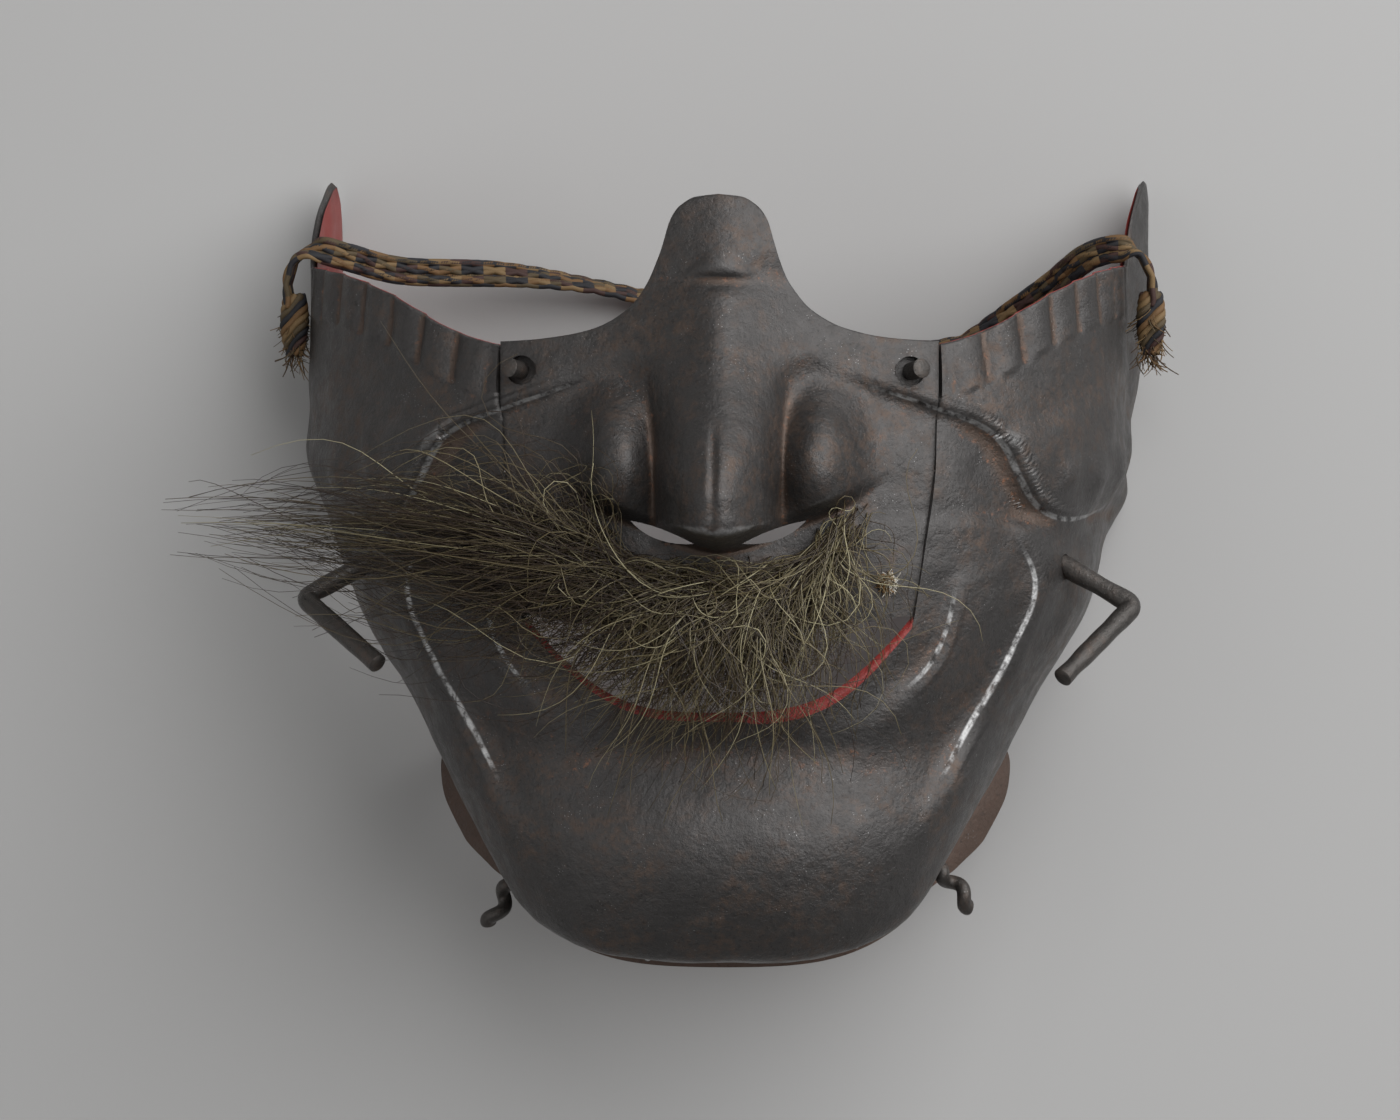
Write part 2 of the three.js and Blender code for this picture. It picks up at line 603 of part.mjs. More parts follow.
function heightOfForm(x, y) {
  let [low, high] = [-80, 90];
  for (let k = 0; k < 40; k++) {
    const level = (low + high) / 2;
    const at = levelAt(level);
    const reach = Math.min(1, Math.abs(x) / at.xEdge);
    const late = mix(CORNER.soft, CORNER.hard, smoothstep(CORNER.from, CORNER.to, reach));
    if (at.yMid + (at.yEdge - at.yMid) * reach ** late > y) high = level;
    else low = level;
  }
  const at = levelAt(low);
  return at.zEdge + (at.zMid - at.zEdge) * depthAt(angleOf(Math.min(1, Math.abs(x) / at.xEdge)));
}

function hookLine(name) {
  const { base, elbow, tip } = HOOKS[name];
  const foot = new THREE.Vector3(...base, heightOfForm(...base));
  const corner = new THREE.Vector3(...elbow);
  const inward = foot.clone().sub(corner).normalize();
  const root = foot.clone().addScaledVector(inward, SHELL_WALL + HOOK.inside);
  return { root, inward, foot, corner, tip: new THREE.Vector3(...tip) };
}

function hookGeometry(name) {
  const { root, inward, corner, tip } = hookLine(name);
  const knee = new THREE.IcosahedronGeometry(HOOK.radius * 1.08, 0).translate(...corner.toArray());
  const head = bar(
    root.clone().addScaledVector(inward, -0.4),
    root.clone().addScaledVector(inward, 0.8),
    HOOK.head,
    12,
  );
  return fuse(bar(root, corner, HOOK.radius), knee, bar(corner, tip, HOOK.radius), head);
}

// A twisted peg under the jaw: where it sits on the form and the way it points.
const PEGS = {
  left: { angle: -42.5, level: -101, points: [-0.42, -0.9, -0.1] },
  right: { angle: 44.5, level: -101, points: [0.64, -0.77, -0.1] },
};

function pegLine(name) {
  const { angle, level, points } = PEGS[name];
  return { seat: formPoint(angle, level), out: new THREE.Vector3(...points).normalize() };
}

function pegGeometry(name) {
  const { seat, out } = pegLine(name);
  const across = new THREE.Vector3(0, 0, 1).cross(out).normalize();
  const up = out.clone().cross(across);
  const [around, steps] = [8, 16];
  const positions = [];
  for (let j = 0; j <= steps; j++) {
    const along = mix(-PEG.inside - SHELL_WALL, PEG.stands, j / steps);
    const twist = 2 * Math.PI * PEG.turns * (along / PEG.stands);
    const offset = PEG.lobe * smoothstep(1, 3, along);
    for (let k = 0; k < around; k++) {
      const turn = (2 * Math.PI * k) / around;
      const [u, v] = [
        PEG.radius * Math.cos(turn) + offset * Math.cos(twist),
        PEG.radius * Math.sin(turn) + offset * Math.sin(twist),
      ];
      const point = seat.clone().addScaledVector(out, along).addScaledVector(across, u);
      positions.push(...point.addScaledVector(up, v).toArray());
    }
  }
  const faces = [];
  for (let j = 0; j < steps; j++)
    for (let k = 0; k < around; k++) {
      const [a, b] = [j * around + k, j * around + ((k + 1) % around)];
      faces.push(a, b, b + around, a, b + around, a + around);
    }
  const [first, last] = [0, steps * around];
  for (let k = 1; k < around - 1; k++) {
    faces.push(first, first + k + 1, first + k);
    faces.push(last, last + k, last + k + 1);
  }
  const geometry = new THREE.BufferGeometry();
  geometry.setAttribute("position", new THREE.Float32BufferAttribute(positions, 3));
  geometry.setIndex(faces);
  return geometry;
}

// What the shell is drilled for: hooks, pegs and studs, each a clearance hole.
function shellCutters() {
  const cutters = [];
  for (const name of ["left", "right"]) {
    const { foot, inward } = hookLine(name);
    const [a, b] = [foot.clone().addScaledVector(inward, -9), foot.clone().addScaledVector(inward, 9)];
    cutters.push(bar(a, b, HOOK.radius + GAP, 10));
    const { seat, out } = pegLine(name);
    const [c, d] = [seat.clone().addScaledVector(out, -6), seat.clone().addScaledVector(out, 6)];
    cutters.push(bar(c, d, PEG.radius + GAP + 0.1, 10));
    const { foot: e, bend: f } = studLine(name === "left" ? -1 : 1);
    cutters.push(bar(e, f, STUD.radius + GAP, 10));
  }
  return cutters;
}

// ---------------------------------------------------------------- collar under the jaw
const COLLAR_WIDTH = [
  { angle: 0, width: 3 },
  { angle: 30, width: 2.6 },
  { angle: 40, width: 2.8 },
  { angle: 46, width: 6.4 },
  { angle: 53, width: 9 },
  { angle: 62, width: 8.8 },
  { angle: 72, width: 7 },
  { angle: 82, width: 4.6 },
  { angle: 90, width: 1.6 },
];
const collarWidth = tableCurve(COLLAR_WIDTH, "angle", "width");
const COLLAR_ANGLES = mirrored([0, 12, 24, 34, 40, 45, 50, 56, 62, 68, 74, 80, 85, 90]);
const COLLAR_ROWS = [-3, 0, 0.5, 1]; // millimetres inwards, then shares of the width
const LACING = [12, 24, 36, 48, 60, 72]; // angles of the lacing holes

function collarPoint(angle, row, inset) {
  const base = formPoint(angle, LAST_LEVEL);
  const out = formNormal(angle, LAST_LEVEL).setZ(0).normalize();
  const reach = row <= 0 ? row : row * collarWidth(Math.abs(angle));
  const curl = -0.075 * Math.max(0, reach) ** 2;
  const z = base.z - 1 + curl - inset;
  return base.addScaledVector(out, reach).setZ(Math.max(z, 0.02 + (COLLAR_WALL - inset)));
}

function collarGeometry() {
  const sheet = sheetGeometry(
    COLLAR_ANGLES.length,
    COLLAR_ROWS.length,
    () => true,
    (i, j) => collarPoint(COLLAR_ANGLES[i], COLLAR_ROWS[j], 0),
    (i, j) => collarPoint(COLLAR_ANGLES[i], COLLAR_ROWS[j], COLLAR_WALL),
  );
  const holes = mirrored(LACING).map((angle) => {
    const at = collarPoint(angle, 0, 0).addScaledVector(
      formNormal(angle, LAST_LEVEL).setZ(0).normalize(), 1.5);
    return bar(at.clone().setZ(at.z - 6), at.clone().setZ(at.z + 6), 0.7, 6);
  });
  return cut(sheet, ...holes);
}

// ---------------------------------------------------------------- moustache
// Locks: foot on the lip and tip, with how far each stands off the iron, and a half thickness.
const LOCKS = [
  { fromX: -27, fromY: 0, toX: -96, toY: 19, off: 26, thick: 2.2 },
  { fromX: -27, fromY: -2, toX: -106, toY: 11, off: 30, thick: 2.6 },
  { fromX: -24, fromY: -3, toX: -99, toY: 1, off: 34, thick: 2.6 },
  { fromX: -20, fromY: -5, toX: -90, toY: -15, off: 36, thick: 2.4 },
  { fromX: -16, fromY: -6, toX: -74, toY: -27, off: 30, thick: 2.6 },
  { fromX: -13, fromY: -7, toX: -58, toY: -33, off: 18, thick: 2.6 },
  { fromX: -9, fromY: -7, toX: -38, toY: -32, off: 12, thick: 2.6 },
  { fromX: -5, fromY: -7, toX: -28, toY: -46, off: 10, thick: 2.4 },
  { fromX: -1, fromY: -7, toX: -15, toY: -48, off: 10, thick: 2.6 },
  { fromX: 3, fromY: -7, toX: -8, toY: -52, off: 10, thick: 2.6 },
  { fromX: 8, fromY: -7, toX: -2, toY: -46, off: 9, thick: 2.8 },
  { fromX: 13, fromY: -6, toX: 4, toY: -44, off: 8, thick: 2.8 },
  { fromX: 18, fromY: -4, toX: 10, toY: -36, off: 7, thick: 2.8 },
  { fromX: 21, fromY: -2, toX: 15, toY: -26, off: 6, thick: 2.2 },
];
const BACKING_X = [-30, -24, -18, -12, -6, 0, 6, 12, 18, 26];
const BACKING_Y = [1.2, -3, -7.4];

function lockGeometry(lock) {
  const points = [];
  for (let k = 0; k <= 5; k++) {
    const t = k / 5;
    const x = mix(lock.fromX, lock.toX, t ** 0.9);
    const y = mix(lock.fromY, lock.toY, t ** 1.25);
    const surface = plateHeight(mix(lock.fromX, clamp(x, -36, 36), t), Math.max(y, -40));
    const from = plateHeight(lock.fromX, lock.fromY) + 2;
    const free = heightOfForm(clamp(x, -80, 80), clamp(y, -75, 70)) + lock.off;
    points.push(new THREE.Vector3(x, y, t < 0.05 ? from : Math.max(mix(surface + 6, free, t), from + 2)));
  }
  const curve = new THREE.CatmullRomCurve3(points);
  const [around, steps] = [5, 5];
  const positions = [];
  const frames = curve.computeFrenetFrames(steps, false);
  for (let j = 0; j <= steps; j++) {
    const t = j / steps;
    const radius = lock.thick * Math.sqrt(Math.max(0.03, (1 - t) * (0.55 + 1.8 * t)));
    const at = curve.getPointAt(t);
    for (let k = 0; k < around; k++) {
      const turn = (2 * Math.PI * k) / around;
      positions.push(
        ...at
          .clone()
          .addScaledVector(frames.normals[j], radius * Math.cos(turn))
          .addScaledVector(frames.binormals[j], radius * Math.sin(turn))
          .toArray(),
      );
    }
  }
  const faces = [];
  for (let j = 0; j < steps; j++)
    for (let k = 0; k < around; k++) {
      const [a, b] = [j * around + k, j * around + ((k + 1) % around)];
      faces.push(a, b, b + around, a, b + around, a + around);
    }
  for (let k = 1; k < around - 1; k++) {
    faces.push(0, k + 1, k);
    faces.push(steps * around, steps * around + k, steps * around + k + 1);
  }
  const geometry = new THREE.BufferGeometry();
  geometry.setAttribute("position", new THREE.Float32BufferAttribute(positions, 3));
  geometry.setIndex(faces);
  return geometry;
}

function moustacheGeometry() {
  const lift = (i, j, rise) => {
    const [x, y] = [BACKING_X[i], BACKING_Y[j] - 2.5 * gauss(BACKING_X[i] / 9)];
    return new THREE.Vector3(x, y, plateHeight(x, y) + rise);
  };
  const backing = sheetGeometry(
    BACKING_X.length,
    BACKING_Y.length,
    () => true,
    (i, j) => lift(i, j, 3.2),
    (i, j) => lift(i, j, 0.9),
  );
  return fuse(backing, ...LOCKS.map(lockGeometry));
}

// ---------------------------------------------------------------- cord
const CORD_ROUTE = [
  { x: -91.4, y: 53, z: 24 },
  { x: -91.6, y: 59, z: 24.5 },
  { x: -89.4, y: 63.6, z: 25.5 },
  { x: -85, y: 65, z: 26.5 },
  { x: -79, y: 63.6, z: 24.5 },
  { x: -68, y: 61.2, z: 18 },
  { x: -48, y: 61, z: 11 },
  { x: -33, y: 59.5, z: 7 },
  { x: -20, y: 57, z: 4 },
  { x: -6, y: 52.5, z: 2.4 },
  { x: 12, y: 46.5, z: 2.1 },
  { x: 30, y: 43.5, z: 2.1 },
  { x: 46, y: 45, z: 3 },
  { x: 58, y: 50.5, z: 7.5 },
  { x: 68.5, y: 57.5, z: 14 },
  { x: 76, y: 63.4, z: 21.5 },
  { x: 82.4, y: 65, z: 26 },
  { x: 86.8, y: 63.6, z: 26.5 },
  { x: 89.2, y: 59, z: 26.5 },
  { x: 89.4, y: 53, z: 26 },
];
const cordPath = new THREE.CatmullRomCurve3(
  CORD_ROUTE.map(({ x, y, z }) => new THREE.Vector3(x, y, z)), false, "catmullrom", 0.5);

const KNOTS = {
  left: { x: -91.2, y: 49, z: 24 },
  right: { x: 89.6, y: 49, z: 26 },
};

function knotGeometry(name) {
  const { x, y, z } = KNOTS[name];
  const side = Math.sign(x);
  const lump = new THREE.IcosahedronGeometry(1, 1).scale(2.9, 3.5, 4).translate(x, y, z);
  const from = new THREE.Vector3(x, y, z);
  const tail = bar(from, new THREE.Vector3(x - side * 0.6, y - 7.5, z - 1.5), 1.9, 8, 1.2);
  return fuse(lump, tail);
}

// ---------------------------------------------------------------- the model
const STYLE = {
  iron: { color: 0x34302d, roughness: 0.5, metalness: 0.85 },
  plate: { color: 0x3a3532, roughness: 0.5, metalness: 0.85 },
  russet: { color: 0x4a3a33, roughness: 0.55, metalness: 0.6 },
  rod: { color: 0x2b2827, roughness: 0.45, metalness: 0.9 },
  hair: { color: 0x4d4230, roughness: 0.9, metalness: 0 },
  plug: { color: 0xa58f73, roughness: 0.9, metalness: 0 },
  cord: { color: 0x6b5530, roughness: 0.9, metalness: 0 },
};

const PIECES = [
  { name: "face_shell", style: "iron", make: () => shellGeometry(shellCutters()) },
  { name: "nose_plate", style: "plate", make: plateGeometry },
  { name: "throat_flange", style: "russet", make: collarGeometry },
  { name: "cheek_hook_left", style: "rod", make: () => hookGeometry("left") },
  { name: "cheek_hook_right", style: "rod", make: () => hookGeometry("right") },
  { name: "chin_peg_left", style: "rod", make: () => pegGeometry("left") },
  { name: "chin_peg_right", style: "rod", make: () => pegGeometry("right") },
  { name: "nose_stud_left", style: "rod", make: () => studGeometry(-1) },
  { name: "nose_stud_right", style: "rod", make: () => studGeometry(1) },
  { name: "hair_plug_right", style: "plug", make: plugGeometry },
  { name: "moustache", style: "hair", make: moustacheGeometry },
  { name: "cord", style: "cord", loose: true,
    make: () => sweep(cordPath, 44, CORD.wide, CORD.thick) },
  { name: "cord_knot_left", style: "cord", loose: true, make: () => knotGeometry("left") },
  { name: "cord_knot_right", style: "cord", loose: true, make: () => knotGeometry("right") },
];

// The mask is moved so that the box of everything but the cord stands on the origin.
function buildModel() {
  const model = new THREE.Group();
  model.name = "samurai_face_guard";
  const made = PIECES.map((piece) => ({ ...piece, geometry: piece.make() }));
  const box = new THREE.Box3();
  for (const { geometry, loose } of made) {
    geometry.computeBoundingBox();
    if (!loose) box.union(geometry.boundingBox);
  }
  const middle = box.getCenter(new THREE.Vector3());
  for (const { name, style, geometry } of made) {
    geometry.translate(-middle.x, -middle.y, -box.min.z);
    geometry.deleteAttribute("normal");
    geometry.deleteAttribute("uv");
    const bare = mergeVertices(geometry, 1e-4);
    bare.computeVertexNormals();
    const mesh = new THREE.Mesh(bare, new THREE.MeshStandardMaterial(STYLE[style]));
    mesh.name = name;
    model.add(mesh);
  }
  return model;
}

export default buildModel();
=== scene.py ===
"""A samurai half mask of beaten iron, lying on its back on a pale floor.

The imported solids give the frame: every place below is worked out in millimetres about the mask's
own middle line (x across, y up the face, z out of it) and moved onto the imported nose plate.
"""

import logging
import math
from dataclasses import dataclass, field
from enum import Enum

import bpy
import numpy as np
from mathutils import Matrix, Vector

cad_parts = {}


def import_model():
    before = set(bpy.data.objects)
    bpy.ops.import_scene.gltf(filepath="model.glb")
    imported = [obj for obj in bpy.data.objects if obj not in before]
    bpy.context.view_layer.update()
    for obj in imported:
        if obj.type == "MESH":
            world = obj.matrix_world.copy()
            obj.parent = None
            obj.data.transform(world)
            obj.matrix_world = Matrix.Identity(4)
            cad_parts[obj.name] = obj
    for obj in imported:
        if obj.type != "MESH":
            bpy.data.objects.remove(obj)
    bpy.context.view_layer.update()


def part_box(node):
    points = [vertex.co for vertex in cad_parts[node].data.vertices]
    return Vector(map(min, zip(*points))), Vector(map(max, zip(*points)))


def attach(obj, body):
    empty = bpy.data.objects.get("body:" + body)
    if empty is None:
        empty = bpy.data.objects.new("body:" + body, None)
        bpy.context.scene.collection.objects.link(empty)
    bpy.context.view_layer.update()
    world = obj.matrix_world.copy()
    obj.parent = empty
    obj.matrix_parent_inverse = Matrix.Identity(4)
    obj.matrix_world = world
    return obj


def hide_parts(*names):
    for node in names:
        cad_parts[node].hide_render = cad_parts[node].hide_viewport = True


MM = 0.001
LOG = logging.getLogger("face_guard")
FAR = 9.0  # millimetres: well away from any fold or rim
BEATEN = 82  # degrees: edges of the beaten sheets that are sharper stay sharp
Array = np.ndarray
Piece = bpy.types.Object
Material = bpy.types.Material
Pairs = tuple[tuple[float, float], ...]
Vec3 = tuple[float, float, float]
Colour = tuple[float, float, float, float]
FoldRow = tuple[float, float, float, float]


# ------------------------------------------------------------------ numbers and curves
def smoothstep(low: float, high: float, value: Array) -> Array:
    """Rises smoothly from 0 at low to 1 at high."""
    t = np.clip((value - low) / (high - low), 0, 1)
    return t * t * (3 - 2 * t)


def gauss(value: Array) -> Array:
    """A bell of height 1 and unit width."""
    return np.exp(-value * value)


def raised(value: Array, soft: float) -> Array:
    """The value where it is above 0, easing off towards 0 below."""
    return (value + np.sqrt(value * value + soft * soft)) / 2


def rolled(gap: Array, wide: float) -> Array:
    """Returns how far a rolled rim has dropped: 1 at the rim, 0 past its width."""
    return 1 - np.sqrt(1 - np.clip(1 - gap / wide, 0, 1) ** 2)


def unit(vectors: Array) -> Array:
    """Returns vectors of length 1 in the same directions."""
    return vectors / np.linalg.norm(vectors, axis=-1, keepdims=True)


def arc(start: Array, middle: Array, end: Array, count: int) -> Array:
    """Returns points along a curve from start to end that leans towards middle."""
    t = np.linspace(0, 1, count)[:, None]
    return start * (1 - t) ** 2 + 2 * t * (1 - t) * middle + end * t**2


class SmoothTable:
    """A smooth curve through a table of pairs that never overshoots it."""

    def __init__(self, pairs: Pairs) -> None:
        """Sorts the pairs and works out the slope at each.

        Args:
            pairs: (place, value) rows, in any order.
        """
        rows = np.array(sorted(pairs), float)
        self.x, self.y = rows[:, 0], rows[:, 1]
        slopes = np.diff(self.y) / np.diff(self.x)
        inner = np.zeros(len(self.x) - 2)
        same = slopes[:-1] * slopes[1:] > 0
        a, b = slopes[:-1][same], slopes[1:][same]
        inner[same] = 2 * a * b / (a + b)
        self.slope = np.concatenate([[slopes[0]], inner, [slopes[-1]]])

    def __call__(self, value: Array) -> Array:
        """Reads the curve.

        Args:
            value: places along the table.

        Returns:
            The curve's value at each, held level past both ends.
        """
        v = np.clip(value, self.x[0], self.x[-1])
        k = np.clip(np.searchsorted(self.x, v, side="right") - 1, 0, len(self.x) - 2)
        h = self.x[k + 1] - self.x[k]
        t = (v - self.x[k]) / h
        base = self.y[k] * (1 + 2 * t) * (1 - t) ** 2 + self.y[k + 1] * t * t * (3 - 2 * t)
        return base + h * (self.slope[k] * t * (1 - t) ** 2 - self.slope[k + 1] * t * t * (1 - t))


class Ripple:
    """Smooth, repeatable noise made of waves in random directions."""

    def __init__(self, seed: int, size: float, waves: int = 14) -> None:
        """Draws the waves.

        Args:
            seed: which noise.
            size: typical width of a swelling, in millimetres.
            waves: how many waves are added.
        """
        rng = np.random.default_rng(seed)
        turn = unit(rng.normal(size=(waves, 3)))
        self.turn = turn * (math.pi / (size * rng.uniform(0.7, 1.6, waves)))[:, None]
        self.phase = rng.uniform(0, 2 * math.pi, waves)
        self.share = 1.4 / math.sqrt(waves)

    def __call__(self, points: Array) -> Array:
        """Returns the noise, mostly between -1 and 1, at an (N, 3) array of points."""
        return self.share * np.sin(points @ self.turn.T + self.phase).sum(axis=1)


def hammered(points: Array, seed: int) -> Array:
    """Returns the small unevenness that a hammer leaves, in millimetres."""
    return 0.1 * Ripple(seed, 9)(points) + 0.05 * Ripple(seed + 1, 3.5)(points)


# ------------------------------------------------------------------ the beaten form
@dataclass(frozen=True)
class Level:
    """One arc of the form, from its middle point round to its back edge."""

    level: float
    y_mid: float
    z_mid: float
    x_edge: float
    y_edge: float
    z_edge: float


@dataclass
class Form:
    """The smooth shape that the whole face is beaten over."""

    squareness: float = 2.4
    fall_mid: float = 3.7
    fall_end: float = 2.6
    seam: float = 26.0
    ear_lean_left: float = 4.6
    ear_lean_right: float = 4.8
    left_bulge: float = 2.8
    mouth_level: float = -11.2
    lip_drop: float = 18.6
    crease_level: float = -80.0
    last_level: float = -125.0
    levels: tuple[Level, ...] = (
        Level(82, 82, 76, 86, 82, 0),
        Level(60, 60, 80, 86.2, 60, 0),
        Level(40, 40, 84, 86.2, 40, 0),
        Level(20, 20, 87.5, 84.5, 20, 0),
        Level(10, 10, 88.5, 82.3, 10, 0),
        Level(6, 6, 88.8, 81, 6, 9),
        Level(-10, -10, 89, 76.3, -9, 14),
        Level(-25, -25, 88, 71.5, -17, 15),
        Level(-40, -40, 85.5, 67.5, -23, 15),
        Level(-55, -55, 87.5, 64.5, -28, 14),
        Level(-70, -70, 84.5, 62, -32, 11),
        Level(-80, -78.2, 79, 60.5, -34.5, 8.5),
        Level(-103, -80, 59, 58.5, -35.5, 5.5),
        Level(-125, -81, 40, 57, -36.5, 2.9),
    )
    eye_edge_points: Pairs = (
        (0, 42), (25, 42.4), (29.3, 43.6), (33.6, 45.6), (38.4, 48.4), (44.8, 52.4), (52.4, 56),
        (60.5, 58.8), (70, 60.8), (76.8, 61.8), (80, 69.5), (83, 76), (86.5, 81), (88.6, 78), (90, 70),
    )

    def __post_init__(self) -> None:
        """Turns the tables into curves."""
        for name in ("y_mid", "z_mid", "x_edge", "y_edge", "z_edge"):
            pairs = tuple((row.level, getattr(row, name)) for row in self.levels)
            setattr(self, name, SmoothTable(pairs))
        self.eye_edge = SmoothTable(self.eye_edge_points)

    def reach(self, angle: Array) -> Array:
        """Share of the half width reached at an angle round the form."""
        return np.sin(np.radians(np.abs(angle))) ** (2 / self.squareness)

    def depth(self, angle: Array) -> Array:
        """Share of the depth that is left at an angle."""
        return np.clip(np.cos(np.radians(np.abs(angle))), 0, 1) ** (2 / self.squareness)

    def fall(self, reach: Array) -> Array:
        """Returns the power by which an arc drops from its middle, softer towards its end."""
        return self.fall_mid + (self.fall_end - self.fall_mid) * smoothstep(0.6, 0.85, reach)

    def left(self, reach: Array) -> Array:
        """Returns the share of the depth that is left at a share of the half width."""
        return (1 - reach**self.squareness) ** (1 / self.squareness)

    def point(self, angle: Array, level: Array) -> Array:
        """Places points on the form.

        Args:
            angle: degrees round the form, negative on the left.
            level: which arc each lies on.

        Returns:
            The points, one row each.
        """
        reach = self.reach(angle)
        back = smoothstep(77, 90, np.abs(angle))
        ear = back * smoothstep(16, 58, level)
        right = self.ear_lean_right * (ear + 0.6 * back * gauss((level - 13) / 6))
        bulge = self.left_bulge * smoothstep(45, 76, -angle) * smoothstep(-12, 14, level)
        shift = np.where(angle > 0, right, self.ear_lean_left * ear - bulge)
        x = np.sign(angle) * self.x_edge(level) * reach + shift
        y = self.y_mid(level) + (self.y_edge(level) - self.y_mid(level)) * reach ** self.fall(reach)
        z = self.z_edge(level) + (self.z_mid(level) - self.z_edge(level)) * self.depth(angle)
        return np.stack([x, y, z], axis=-1)

    def normal(self, angle: Array, level: Array) -> Array:
        """Works out which way the form faces.

        Args:
            angle: degrees round the form.
            level: which arc.

        Returns:
            The outward unit normal at each point.
        """
        safe = np.clip(angle, -88.5, 88.5)
        across = self.point(safe + 0.5, level) - self.point(safe - 0.5, level)
        down = self.point(safe, level - 0.5) - self.point(safe, level + 0.5)
        return unit(np.cross(down, across))

    def height(self, x: Array, y: Array) -> Array:
        """Finds the form's front side, by halving.

        Args:
            x: places across.
            y: places up.

        Returns:
            The form's z at each place.
        """
        low, high = np.full(np.shape(x), self.crease_level), np.full(np.shape(x), 90.0)
        for _ in range(26):
            level = (low + high) / 2
            reach = np.clip(np.abs(x) / self.x_edge(level), 0, 1)
            drop = (self.y_edge(level) - self.y_mid(level)) * reach ** self.fall(reach)
            above = self.y_mid(level) + drop > y
            high, low = np.where(above, level, high), np.where(above, low, level)
        reach = np.clip(np.abs(x) / self.x_edge(low), 0, 1)
        return self.z_edge(low) + (self.z_mid(low) - self.z_edge(low)) * self.left(reach)

    def lip_level(self, angle: Array) -> Array:
        """Level of the lower lip's edge at an angle inside the seam."""
        across = np.clip(self.reach(angle) / self.reach(np.array(self.seam)), 0, 1)
        return self.mouth_level - self.lip_drop * (1 - across**3.2)


# ------------------------------------------------------------------ relief beaten into the form
def flowing(points: Array, steps: int = 5) -> Array:
    """Draws a smooth line through rows of any width.

    Args:
        points: the rows.
        steps: how many points each stretch between two rows gets.

    Returns:
        The line's points.
    """
    ends = np.concatenate([[2 * points[0] - points[1]], points, [2 * points[-1] - points[-2]]])
    t = np.linspace(0, 1, steps, endpoint=False)[:, None]
    line = []
    for a, b, c, d in zip(ends, ends[1:], ends[2:], ends[3:]):
        square, cube = 2 * a - 5 * b + 4 * c - d, 3 * b - a - 3 * c + d
        line.append(0.5 * (2 * b + (c - a) * t + square * t**2 + cube * t**3))
    return np.concatenate(line + [points[-1:]])


@dataclass(frozen=True)
class Fold:
    """A line over which the iron steps down, high on its left as it is walked.

    Each point holds x, y, the height of the step and its softness, all in millimetres.
    """

    spread: float
    points: tuple[FoldRow, ...]
    high_on_right: bool = False

    def walk(self, x: Array, y: Array) -> tuple[Array, Array, Array, Array]:
        """Measures points of the front view against the line.

        Args:
            x: their places across.
            y: their places up.

        Returns:
            The distance to the line, positive on its high side, the step and softness there, and
            which points are near enough to matter.
        """
        rows = flowing(np.array(self.points))
        reach = 2.6 * self.spread
        low, high = rows[:, :2].min(axis=0) - reach, rows[:, :2].max(axis=0) + reach
        near = (x > low[0]) & (x < high[0]) & (y > low[1]) & (y < high[1])
        px, py = x[near], y[near]
        best = np.full(px.shape, 1e9)
        side, rise, soft = np.zeros(px.shape), np.zeros(px.shape), np.ones(px.shape)
        for a, b in zip(rows[:-1], rows[1:]):
            d = b[:2] - a[:2]
            t = np.clip(((px - a[0]) * d[0] + (py - a[1]) * d[1]) / (d @ d), 0, 1)
            qx, qy = px - a[0] - d[0] * t, py - a[1] - d[1] * t
            gap = np.hypot(qx, qy)
            closer = gap < best
            best = np.where(closer, gap, best)
            side = np.where(closer, np.sign(d[0] * qy - d[1] * qx), side)
            rise = np.where(closer, a[2] + (b[2] - a[2]) * t, rise)
            soft = np.where(closer, a[3] + (b[3] - a[3]) * t, soft)
        return best * (-side if self.high_on_right else side), rise, soft, near

    def height(self, x: Array, y: Array) -> Array:
        """Steps the iron down over the line.

        Args:
            x: places across.
            y: places up.

        Returns:
            The fold's relief at each place.
        """
        away, rise, soft, near = self.walk(x, y)
        relief = np.zeros(np.shape(x))
        relief[near] = rise / 2 * np.tanh(away / (soft + 0.9)) * gauss(away / self.spread)
        return relief


@dataclass(frozen=True)
class Swelling:
    """A rounded bump, or a hollow where rise is negative, on both cheeks."""

    angle: float
    y: float
    wide: float
    high: float
    rise: float

    def height(self, angle: Array, y: Array) -> Array:
        """Returns the bump's relief at each angle and height."""
        return (
            self.rise
            * gauss((np.abs(angle) - self.angle) / self.wide)
            * gauss((y - self.y) / self.high)
        )


